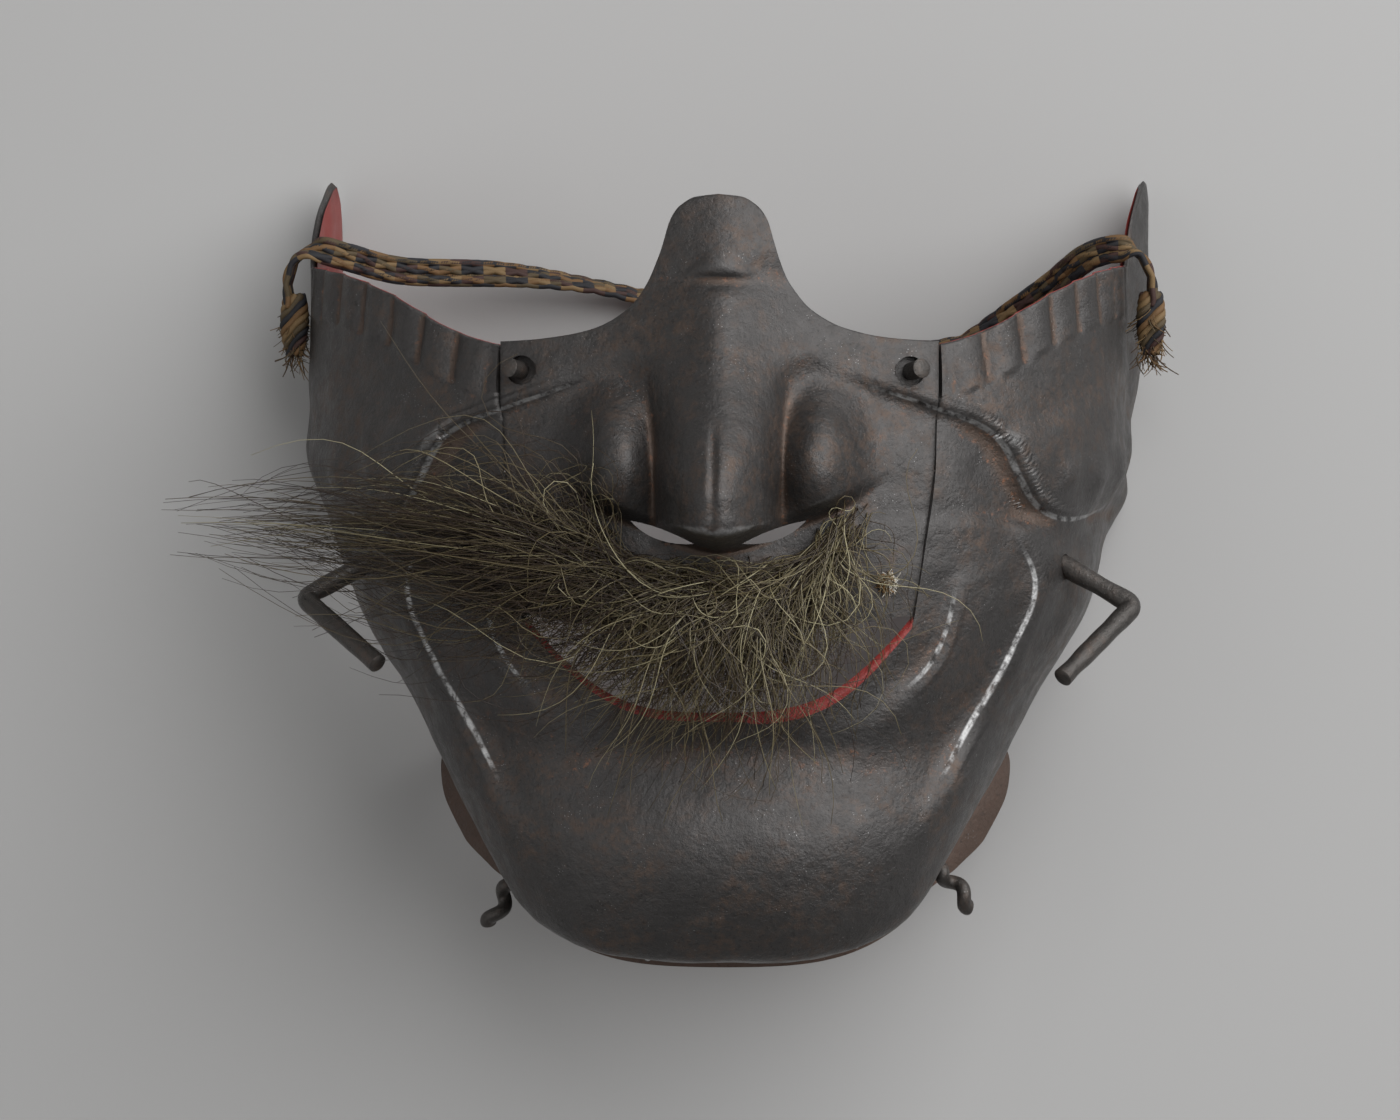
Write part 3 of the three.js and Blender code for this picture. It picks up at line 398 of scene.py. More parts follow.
@dataclass
class CheekRelief:
    """Folds, pads, knuckles and flutes of the shell."""

    form: Form
    flute_pitch: float = 6.9
    flute_depth: float = 1.5
    flute_band: float = 10.8
    folds: tuple[Fold, ...] = (
        Fold(10, (
            (11.8, 8, 0, 2), (12.2, 20, 1.2, 2.2), (12.9, 31, 2, 2.4), (14.6, 36, 2.4, 2.4),
            (18.5, 37.8, 2.4, 2), (27.6, 34.6, 2, 1.1), (42.9, 29.5, 2.2, 0.6), (50.3, 26.9, 3, 0.6),
            (54.6, 24.2, 3.8, 0.7), (57.2, 20.5, 4.2, 0.8), (59.4, 16, 4.2, 0.8), (62, 11.8, 4, 0.8),
            (65.4, 9.1, 3.8, 0.8), (69.8, 8, 3.2, 0.8), (75, 9.4, 2.2, 0.9), (80.2, 12.6, 1, 1),
            (83.5, 16, 0, 1),
        )),
        Fold(6, (
            (80.5, 38, 0, 1.6), (76, 34.5, 0.9, 1.6), (70.5, 30.2, 1.3, 1.6), (64.5, 27, 1.3, 1.4),
            (58.5, 25.4, 1, 1.2), (54.6, 24.6, 0, 1),
        )),
        Fold(7, (
            (22, -34, 0, 2), (27.2, -31.2, 0.9, 1.8), (33, -27.6, 1.7, 1.4), (38.8, -23.2, 2, 0.9),
            (42.4, -18.6, 2, 0.7), (44.7, -12.9, 1.8, 0.7), (46, -7, 1.4, 0.8), (46.6, -1, 0, 1),
        ), high_on_right=True),
        Fold(10, (
            (58.2, 9.5, 0, 1), (59.6, 4.2, 1.6, 1), (62, -0.4, 2.2, 0.9), (62.8, -5, 2.6, 0.8),
            (61.8, -10.2, 2.6, 0.8), (59.4, -15.4, 2.6, 0.8), (56, -21.8, 2.8, 0.8), (51.6, -29, 3, 0.8),
            (46.6, -37.8, 3, 0.9), (42.7, -45.2, 2.2, 1.2), (39.6, -51.5, 1, 1.6), (37, -57, 0, 2),
        )),
        Fold(6, (
            (76, 6.5, 0, 1), (74.4, 1.6, 1, 1), (71, -3.4, 1.2, 1), (70.2, -8, 1.4, 1),
            (67.2, -12.4, 1.2, 1), (64.6, -18, 1, 1), (61.4, -24, 0, 1),
        )),
    )
    swellings: tuple[Swelling, ...] = (
        Swelling(0, -59, 20, 15, 2.4),
        Swelling(0, -38, 16, 5, -1.4),
        Swelling(64, 21, 15, 9, 1.9),
        Swelling(52, 17.6, 3, 3.6, 1.3),
        Swelling(60.5, 17.4, 2.8, 3.8, 1.3),
        Swelling(70, 19, 3.2, 4.6, 1.4),
        Swelling(80, 23, 4, 6, 1.2),
    )

    def fold_height(self, x: Array, y: Array) -> Array:
        """Returns the relief of all folds at points of the front view."""
        return sum(fold.height(np.abs(x), y) for fold in self.folds)

    def edges(self, x: Array, y: Array) -> tuple[Array, Array]:
        """Finds the nearest fold.

        Args:
            x: places across.
            y: places up.

        Returns:
            How far each place is from that fold, and how crisp the fold is there.
        """
        away, crisp = np.full(np.shape(x), FAR), np.zeros(np.shape(x))
        for fold in self.folds:
            gap, rise, soft, near = fold.walk(np.abs(x), y)
            sharp = rise * smoothstep(1.4, 0.6, soft)
            closer = np.abs(gap) < np.abs(away[near])
            away[near] = np.where(closer, gap, away[near])
            crisp[near] = np.where(closer, sharp, crisp[near])
        return away, crisp * smoothstep(2.6, 1.7, np.abs(away))

    def flutes(self, angle: Array, y: Array) -> Array:
        """Raises the ribs along the eye edge.

        Args:
            angle: degrees round the form.
            y: places up.

        Returns:
            The ribs' relief.
        """
        below = self.form.eye_edge(np.minimum(np.abs(angle), 76)) - y
        along = (np.abs(angle) - self.form.seam - 0.2 - 0.1 * below) / self.flute_pitch
        across = along - np.floor(along)
        rib = 1 - np.abs(2 * across - 1) ** 2.2
        within = smoothstep(self.flute_band + 1, self.flute_band - 0.8, below)
        fade = smoothstep(0, 0.15, along) * smoothstep(77, 74.5, np.abs(angle))
        return self.flute_depth * (rib - 0.6) * within * fade

    def height(self, angle: Array, point: Array) -> Array:
        """Adds up the whole relief of the cheeks.

        Args:
            angle: degrees round the form.
            point: points of the form, one row each.

        Returns:
            How far each stands out of the form.
        """
        x, y = point[:, 0], point[:, 1]
        bumps = sum(bump.height(angle, y) for bump in self.swellings)
        return self.fold_height(x, y) + bumps + self.flutes(angle, y)


@dataclass
class NoseRelief:
    """Nose, wings, brow fold and upper lip of the nose plate."""

    half_width: float = 12.3
    bridge_width: float = 13.0
    underside_y: float = 3.0
    underside_rise: float = 5.2
    wing_x: float = 19.6
    wing_y: float = 19.4
    wing_half_width: float = 7.5
    wing_half_height: float = 12.4
    wing_rise: float = 10.2
    crest_points: Pairs = (
        (72, 6.4), (64, 7.2), (60, 7.6), (55, 7), (50, 8), (44, 9.4), (38, 11.4), (30, 14.8),
        (22, 19), (15, 22.6), (11, 23.7), (7, 23.5), (2, 22), (-20, 21),
    )

    def __post_init__(self) -> None:
        """Turns the crest's table into a curve."""
        self.crest = SmoothTable(self.crest_points)

    def height(self, x: Array, y: Array) -> Array:
        """Raises the nose, its wings and the lip under it.

        Args:
            x: places across.
            y: places up.

        Returns:
            The relief above the form at each place.
        """
        out = np.abs(x)
        bridge = smoothstep(20, 42, y)
        body = raised(1 - (out / (self.half_width + 0.05 * np.maximum(0, y - 10))) ** 2, 0.05) ** 0.8
        saddle = gauss(out / (self.bridge_width + 0.25 * np.maximum(0, y - 56)))
        ridge = 1.1 * gauss(out / 4.6) * gauss((y - 40) / 12)
        form = self.crest(y) * (body + (saddle - body) * bridge) + ridge
        pedestal = 2.6 * gauss(out / 19) * gauss((y - 18) / 15) * (1 - bridge)
        reach = np.hypot(
            (out - self.wing_x) / self.wing_half_width, (y - self.wing_y) / self.wing_half_height
        )
        wing = self.wing_rise * np.exp(-(reach**2.6))
        underside = self.underside_y + self.underside_rise * (out / 17) ** 1.4
        above = smoothstep(underside - 1.9, underside + 1.9, y)
        cleft = -0.75 * gauss((x + 0.6) / 0.8) * smoothstep(28, 20, y) * above
        crease = -0.8 * gauss((y - 53.6) / 1.6) * gauss(out / 8)
        lip = 1.4 * smoothstep(20, 0, out) * smoothstep(6, -4, y)
        return (np.hypot(form, wing) + pedestal) * above + cleft + self.brow(x, y) + crease + lip

    @staticmethod
    def brow(x: Array, y: Array) -> Array:
        """Raises the lens-shaped fold between the brows, sharp below and soft above.

        Args:
            x: places across.
            y: places up.

        Returns:
            The fold's relief.
        """
        half, foot, tall, rise = 7.2, 54.9, 5.4, 2.3
        open_share = np.clip(1 - (x / half) ** 2, 0, 1)
        t = np.clip((y - foot) / (tall * open_share + 0.01), 0, 1)
        return rise * open_share * np.sqrt(t) * (1 - t) ** 1.2


# ------------------------------------------------------------------ bench: bpy helpers
class Bench:
    """Blender steps that every piece is made with."""

    def __init__(self) -> None:
        """Finds where the mask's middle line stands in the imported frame."""
        low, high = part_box("nose_plate")
        plate_top = 71.2
        self.shift = np.array([(low[0] + high[0]) / 2 / MM, high[1] / MM - plate_top, 0.0])

    def place(self, points: Array) -> Array:
        """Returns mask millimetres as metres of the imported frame."""
        return (points + self.shift) * MM

    @staticmethod
    def deselect() -> None:
        """Leaves nothing selected."""
        for obj in bpy.context.selected_objects:
            obj.select_set(False)

    def only(self, obj: Piece) -> None:
        """Selects one object and makes it active."""
        self.deselect()
        obj.select_set(True)
        bpy.context.view_layer.objects.active = obj

    def grid(
        self, name: str, columns: int, rows: int, points: Array, *materials: Material
    ) -> tuple[Piece, Array]:
        """Adds a grid primitive and beats it onto a surface.

        Args:
            name: the piece's name.
            columns: points across.
            rows: points down.
            points: (rows * columns, 3) mask millimetres, row by row from the first row.
            *materials: its materials, in slot order.

        Returns:
            The new mesh object, and which of the given points each of its own is.
        """
        self.deselect()
        bpy.ops.mesh.primitive_grid_add(x_subdivisions=columns - 1, y_subdivisions=rows - 1, size=2)
        obj = bpy.context.object
        obj.name = obj.data.name = name
        flat = np.empty(len(obj.data.vertices) * 3)
        obj.data.vertices.foreach_get("co", flat)
        flat = flat.reshape(-1, 3)
        i = np.rint((flat[:, 0] + 1) / 2 * (columns - 1)).astype(int)
        j = np.rint((1 - flat[:, 1]) / 2 * (rows - 1)).astype(int)
        order = j * columns + i
        for material in materials:
            obj.data.materials.append(material)
        obj.data.vertices.foreach_set("co", self.place(points[order]).ravel())
        obj.data.update()
        return obj, order

    def drop_faces(self, obj: Piece, unwanted: Array) -> None:
        """Deletes faces, and the points that they leave loose.

        Args:
            obj: the piece.
            unwanted: True for each face to delete.
        """
        self.only(obj)
        mesh = obj.data
        mesh.vertices.foreach_set("select", np.zeros(len(mesh.vertices), bool))
        mesh.edges.foreach_set("select", np.zeros(len(mesh.edges), bool))
        mesh.polygons.foreach_set("select", unwanted)
        bpy.ops.object.mode_set(mode="EDIT")
        bpy.ops.mesh.select_mode(type="FACE")
        bpy.ops.mesh.delete(type="FACE")
        bpy.ops.mesh.select_mode(type="VERT")
        bpy.ops.mesh.select_all(action="SELECT")
        bpy.ops.mesh.delete_loose(use_verts=True, use_edges=True, use_faces=False)
        bpy.ops.object.mode_set(mode="OBJECT")

    def apply(self, obj: Piece, kind: str, **settings: object) -> None:
        """Adds a modifier and applies it.

        Args:
            obj: the piece.
            kind: the modifier's type.
            **settings: its settings by name.
        """
        self.only(obj)
        modifier = obj.modifiers.new(kind.lower(), kind)
        for name, value in settings.items():
            setattr(modifier, name, value)
        bpy.ops.object.modifier_apply(modifier=modifier.name)

    def wall(self, obj: Piece, thickness: float, inner: int = 1) -> None:
        """Gives a sheet its thickness, inwards.

        Args:
            obj: the sheet.
            thickness: in millimetres.
            inner: material slot offset of the inner face.
        """
        self.apply(
            obj, "SOLIDIFY", thickness=thickness * MM, offset=-1, use_even_offset=False,
            material_offset=inner,
        )

    def cut(self, obj: Piece, cutter: Piece) -> None:
        """Cuts one mesh out of another and throws the cutter away."""
        self.apply(obj, "BOOLEAN", object=cutter, operation="DIFFERENCE", solver="MANIFOLD")
        bpy.data.objects.remove(cutter)

    def drill(self, obj: Piece, start: Array, end: Array, radius: float, sides: int = 16) -> None:
        """Cuts a round hole through a piece, from start to end."""
        self.cut(obj, self.rod("drill", np.array([start, end]), np.full(2, radius), sides))

    def smooth(self, obj: Piece, degrees: float = 40) -> None:
        """Shades a piece smooth, but for its sharp edges."""
        self.only(obj)
        bpy.ops.object.shade_smooth_by_angle(angle=math.radians(degrees))

    def rod(self, name: str, line: Array, radius: Array, sides: int = 20) -> Piece:
        """Extrudes a round bar along a line.

        Args:
            name: the piece's name.
            line: (N, 3) mask millimetres.
            radius: one radius for each point.
            sides: points round the bar.

        Returns:
            The bar, closed at both ends.
        """
        step = 0.1
        self.deselect()
        bpy.ops.mesh.primitive_circle_add(vertices=sides, radius=1, fill_type="NGON")
        obj = bpy.context.object
        obj.name = obj.data.name = name
        bpy.ops.object.mode_set(mode="EDIT")
        for _ in range(len(line) - 1):
            bpy.ops.mesh.extrude_region_move(TRANSFORM_OT_translate={"value": (0, 0, step)})
        bpy.ops.object.mode_set(mode="OBJECT")
        flat = np.empty(len(obj.data.vertices) * 3)
        obj.data.vertices.foreach_get("co", flat)
        flat = flat.reshape(-1, 3)
        ring = np.rint(flat[:, 2] / step).astype(int)
        side, up = self.frames(line)
        r = np.asarray(radius)[ring][:, None]
        points = line[ring] + r * (flat[:, :1] * side[ring] + flat[:, 1:2] * up[ring])
        obj.data.vertices.foreach_set("co", self.place(points).ravel())
        obj.data.update()
        self.recalculate(obj)
        return obj

    def recalculate(self, obj: Piece) -> None:
        """Turns every face outwards."""
        self.only(obj)
        bpy.ops.object.mode_set(mode="EDIT")
        bpy.ops.mesh.select_all(action="SELECT")
        bpy.ops.mesh.normals_make_consistent(inside=False)
        bpy.ops.object.mode_set(mode="OBJECT")

    @staticmethod
    def frames(line: Array) -> tuple[Array, Array]:
        """Carries a pair of directions along a line without twist.

        Args:
            line: the line's points, one row each.

        Returns:
            Two unit directions across the line at each point.
        """
        tangent = unit(np.gradient(line, axis=0))
        side = np.empty_like(line)
        start = np.cross(tangent[0], [0.31, 0.2, 1.0])
        for k, t in enumerate(tangent):
            start = unit(start - t * (start @ t))
            side[k] = start
        return side, np.cross(tangent, side)

    @staticmethod
    def mesh(name: str, points: Array, faces: list) -> Piece:
        """Makes an object from points and faces.

        Args:
            name: its name.
            points: its points in metres, one row each.
            faces: the numbers of each face's points.

        Returns:
            The new object.
        """
        data = bpy.data.meshes.new(name)
        data.from_pydata(points.tolist(), [], faces)
        data.update()
        obj = bpy.data.objects.new(name, data)
        bpy.context.scene.collection.objects.link(obj)
        return obj

    @staticmethod
    def paint(obj: Piece, name: str, values: Array) -> None:
        """Stores one number for each point of a mesh."""
        layer = obj.data.attributes.new(name, "FLOAT", "POINT")
        layer.data.foreach_set("value", np.asarray(values, dtype=np.float32))

    def paint_grid(self, obj: Piece, order: Array, **layers: Array) -> None:
        """Stores several numbers for each point of a grid, by name."""
        for name, values in layers.items():
            self.paint(obj, name, values[order])

    def leave_plain(self, obj: Piece) -> None:
        """Stores no wear, grime, lacquer or folds on a small iron piece."""
        for layer in ("wear", "grime", "lacquer", "crisp"):
            self.paint(obj, layer, np.zeros(len(obj.data.vertices)))
        self.paint(obj, "edge", np.full(len(obj.data.vertices), FAR))

    def finish_rod(self, obj: Piece, node: str, iron: Material, degrees: float = 50) -> Piece:
        """Finishes a rod, peg or stud.

        Args:
            obj: the piece.
            node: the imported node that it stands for.
            iron: its finish.
            degrees: edges sharper than this stay sharp.

        Returns:
            The piece.
        """
        self.leave_plain(obj)
        self.smooth(obj, degrees)
        self.finish(obj, "rod", (node,), iron)
        return obj

    @staticmethod
    def finish(obj: Piece, slot: str, replaces: tuple[str, ...], *materials) -> None:
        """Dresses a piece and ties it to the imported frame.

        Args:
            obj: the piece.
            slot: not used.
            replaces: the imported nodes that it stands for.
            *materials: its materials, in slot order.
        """
        if not obj.data.materials:
            for material in materials:
                obj.data.materials.append(material)
        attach(obj, "root")
        if replaces:
            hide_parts(*replaces)
        LOG.info("made %s: %d faces", obj.name, len(obj.data.polygons))


# ------------------------------------------------------------------ finishes
class Shader:
    """A material's node tree, built a step at a time."""

    def __init__(self, name: str) -> None:
        """Starts a material with one Principled shader."""
        self.material = bpy.data.materials.new(name)
        self.material.use_nodes = True
        self.nodes = self.material.node_tree.nodes
        self.links = self.material.node_tree.links
        self.surface = self.nodes["Principled BSDF"]
        self.coordinates = self.nodes.new("ShaderNodeTexCoord").outputs["Object"]

    def link(self, source: object, node: bpy.types.Node, socket: str | int) -> None:
        """Feeds a socket, from another socket or with a plain value."""
        if isinstance(source, bpy.types.NodeSocket):
            self.links.new(source, node.inputs[socket])
        else:
            node.inputs[socket].default_value = source

    def set(self, socket: str, value: object) -> None:
        """Feeds one of the shader's own sockets."""
        self.link(value, self.surface, socket)

    def noise(self, scale: float, detail: float = 3, rough: float = 0.55) -> object:
        """Adds noise in object space.

        Args:
            scale: swellings per metre.
            detail: how many finer layers it has.
            rough: how strong those are.

        Returns:
            Its socket.
        """
        node = self.nodes.new("ShaderNodeTexNoise")
        for socket, value in (("Scale", scale), ("Detail", detail), ("Roughness", rough)):
            self.link(float(value), node, socket)
        self.link(self.coordinates, node, "Vector")
        return node.outputs["Fac"]

    def cells(self, scale: float) -> object:
        """Returns the distance to the nearest of scattered points."""
        node = self.nodes.new("ShaderNodeTexVoronoi")
        self.link(float(scale), node, "Scale")
        self.link(self.coordinates, node, "Vector")
        return node.outputs["Distance"]

    def attribute(self, name: str) -> object:
        """Returns a number stored on the piece."""
        node = self.nodes.new("ShaderNodeAttribute")
        node.attribute_name = name
        return node.outputs["Fac"]

    def ramp(self, source: object, low: float, high: float, start: float = 0, end: float = 1) -> object:
        """Returns source stretched from low..high to start..end, and held there."""
        node = self.nodes.new("ShaderNodeMapRange")
        node.interpolation_type = "SMOOTHSTEP"
        for socket, value in enumerate((source, low, high, start, end)):
            self.link(value, node, socket)
        return node.outputs["Result"]

    def math(self, kind: str, a: object, b: object) -> object:
        """Returns the result of a Math node."""
        node = self.nodes.new("ShaderNodeMath")
        node.operation = kind
        self.link(a, node, 0)
        self.link(b, node, 1)
        return node.outputs["Value"]

    def mix(self, share: object, a: object, b: object) -> object:
        """Returns a blend of two colours."""
        node = self.nodes.new("ShaderNodeMix")
        node.data_type = "RGBA"
        self.link(share, node, 0)
        self.link(a, node, 6)
        self.link(b, node, 7)
        return node.outputs[2]

    def bump(self, *layers: tuple[object, float]) -> None:
        """Chains bumps into the shader.

        Args:
            *layers: (height, depth in metres) pairs, coarse first.
        """
        normal = None
        for height, depth in layers:
            node = self.nodes.new("ShaderNodeBump")
            self.link(1.0, node, "Strength")
            self.link(float(depth), node, "Distance")
            self.link(height, node, "Height")
            if normal is not None:
                self.link(normal, node, "Normal")
            normal = node.outputs["Normal"]
        self.link(normal, self.surface, "Normal")


@dataclass(frozen=True)
class IronFinish:
    """Dark forged iron: patina, rust in its hollows, bright wear on its ridges, a painted highlight along
    its crisp folds, grain.
    """

    name: str
    dark: Colour = (0.060, 0.057, 0.056, 1)
    brown: Colour = (0.094, 0.069, 0.056, 1)
    rust: Colour = (0.19, 0.085, 0.045, 1)
    # bare metal where worn, and also the colour of the painted highlight along crisp folds
    bare_and_highlight: Colour = (0.46, 0.46, 0.46, 1)
    lacquer: Colour = (0.24, 0.022, 0.018, 1)
    soot: Colour = (0.012, 0.011, 0.011, 1)
    metallic: float = 0.62
    rough: float = 0.4

    @staticmethod
    def patina(s: Shader) -> object:
        """Returns where the iron is brown: in patches, and in its hollows."""
        patches = s.ramp(s.noise(70, 6, 0.66), 0.42, 0.62)
        mottle = s.ramp(s.noise(420, 6, 0.72), 0.4, 0.66)
        hollows = s.ramp(s.attribute("grime"), 0.15, 0.8)
        return s.math("MAXIMUM", s.math("MULTIPLY", patches, mottle), hollows)

    @staticmethod
    def rusting(s: Shader) -> object:
        """Returns where rust speckles the iron."""
        speckle = s.ramp(s.noise(700, 5, 0.75), 0.54, 0.72)
        damp = s.math("ADD", s.attribute("grime"), s.noise(95, 5, 0.65))
        return s.math("MULTIPLY", speckle, s.ramp(damp, 0.5, 1.0))

    @staticmethod
    def dots(s: Shader) -> object:
        """Returns the small bright pits."""
        pits = s.ramp(s.cells(1500), 0.16, 0.08, 0, 0.8)
        return s.math("MULTIPLY", pits, s.ramp(s.noise(160, 4, 0.6), 0.5, 0.68))

    @staticmethod
    def edge_wear_and_highlight(s: Shader) -> object:
        """Returns the thin bright line along a crisp fold: partly rubbed wear, partly a painted
        highlight.
        """
        line = s.ramp(s.math("ABSOLUTE", s.attribute("edge"), 0.0), 0.5, 0.15)
        line = s.math("MULTIPLY", line, s.ramp(s.attribute("crisp"), 0.6, 2.0, 0, 1.0))
        return s.math("MULTIPLY", line, s.ramp(s.noise(380, 4, 0.7), 0.35, 0.6))

    def build(self) -> Material:
        """Returns the material."""
        s = Shader(self.name)
        brown, rust = self.patina(s), self.rusting(s)
        rubbed = s.math("ADD", s.attribute("wear"), s.math("MULTIPLY", s.noise(600, 6, 0.75), 0.6))
        scuff = s.ramp(rubbed, 0.55, 1.2)
        bright = s.math("MAXIMUM", s.math("MULTIPLY", scuff, 0.6), self.dots(s))
        # the line along crisp folds is partly wear and partly a painted highlight
        bright = s.math("MAXIMUM", bright, self.edge_wear_and_highlight(s))
        red = s.math("ADD", s.attribute("lacquer"), s.math("MULTIPLY", s.noise(500, 5, 0.7), 0.6))
        red = s.ramp(red, 0.62, 0.82)
        colour = s.mix(brown, self.dark, self.brown)
        colour = s.mix(s.ramp(s.noise(1100, 4, 0.75), 0.52, 0.75, 0, 0.6), colour, self.soot)
        colour = s.mix(rust, colour, self.rust)
        colour = s.mix(bright, colour, self.bare_and_highlight)
        s.set("Base Color", s.mix(red, colour, self.lacquer))
        metal = s.math("MULTIPLY", s.math("SUBTRACT", 1.0, red), self.metallic)
        s.set("Metallic", s.math("MULTIPLY", metal, s.ramp(rust, 0, 1, 1, 0.3)))
        rough = s.ramp(s.noise(240, 6, 0.7), 0.3, 0.7, self.rough - 0.09, self.rough + 0.1)
        rough = s.math("ADD", rough, s.math("MULTIPLY", brown, 0.1))
        s.set("Roughness", s.math("ADD", rough, s.math("MULTIPLY", scuff, -0.08)))
        step = s.math("MULTIPLY", s.ramp(s.attribute("edge"), -0.45, 0.45), s.attribute("crisp"))
        s.bump(
            (step, 0.00016),
            (s.noise(130, 3, 0.5), 0.00022),
            (s.noise(480, 5, 0.65), 0.00030),
            (s.noise(1500, 5, 0.7), 0.00013),
        )
        return s.material


@dataclass(frozen=True)
class LacquerFinish:
    """Red lacquer inside the mask, worn and dusty."""

    name: str
    red: Colour = (0.2, 0.028, 0.023, 1)
    dull: Colour = (0.12, 0.028, 0.022, 1)

    def build(self) -> Material:
        """Returns the material."""
        s = Shader(self.name)
        s.set("Base Color", s.mix(s.ramp(s.noise(70, 5), 0.4, 0.65), self.red, self.dull))
        s.set("Roughness", s.ramp(s.noise(110, 4), 0.3, 0.7, 0.3, 0.48))
        s.bump((s.noise(260, 3), 0.00015))
        return s.material


@dataclass(frozen=True)
class FibreFinish:
    """Hair or silk, coloured by a shade stored on each strand."""

    name: str
    colours: tuple[tuple[float, Colour], ...]
    rough: float = 0.55

    def build(self) -> Material:
        """Returns the material."""
        s = Shader(self.name)
        ramp = s.nodes.new("ShaderNodeValToRGB")
        ramp.color_ramp.interpolation = "LINEAR"
        elements = ramp.color_ramp.elements
        while len(elements) < len(self.colours):
            elements.new(0.5)
        for element, (place, colour) in zip(elements, self.colours):
            element.position = place
            element.color = colour
        s.link(s.attribute("shade"), ramp, "Fac")
        s.set("Base Color", ramp.outputs["Color"])
        s.set("Roughness", self.rough)
        s.bump((s.noise(3500, 2), 0.00003))
        return s.material


# ------------------------------------------------------------------ the shell
def spaced(*stretches: tuple[float, float, int]) -> Array:
    """Returns values along stretches of (start, end, steps), without repeats."""
    parts = [np.linspace(start, end, steps + 1) for start, end, steps in stretches]
    return np.concatenate(parts[:1] + [part[1:] for part in parts[1:]])


def curvature(points: Array, columns: int, rows: int, normal: Array, reach: int) -> Array:
    """Measures how far each grid point stands out of its neighbours.

    Args:
        points: the grid's points, row by row.
        columns: points across.
        rows: points down.
        normal: which way each faces.
        reach: how many points away its neighbours are.

    Returns:
        Millimetres, positive on a ridge.
    """
    p = points.reshape(rows, columns, 3)
    padded = np.pad(p, ((reach, reach), (reach, reach), (0, 0)), mode="reflect", reflect_type="odd")
    around = (
        padded[: -2 * reach, reach:-reach] + padded[2 * reach :, reach:-reach]
        + padded[reach:-reach, : -2 * reach] + padded[reach:-reach, 2 * reach :]
    ) / 4
    return ((p - around).reshape(-1, 3) * normal).sum(axis=1)


def bulging(points: Array, columns: int, rows: int, normal: Array, reach: int) -> Array:
    """Returns how far each grid point bulges, in fine and coarse relief together."""
    fine = curvature(points, columns, rows, normal, 1) * 3
    return fine + curvature(points, columns, rows, normal, reach)


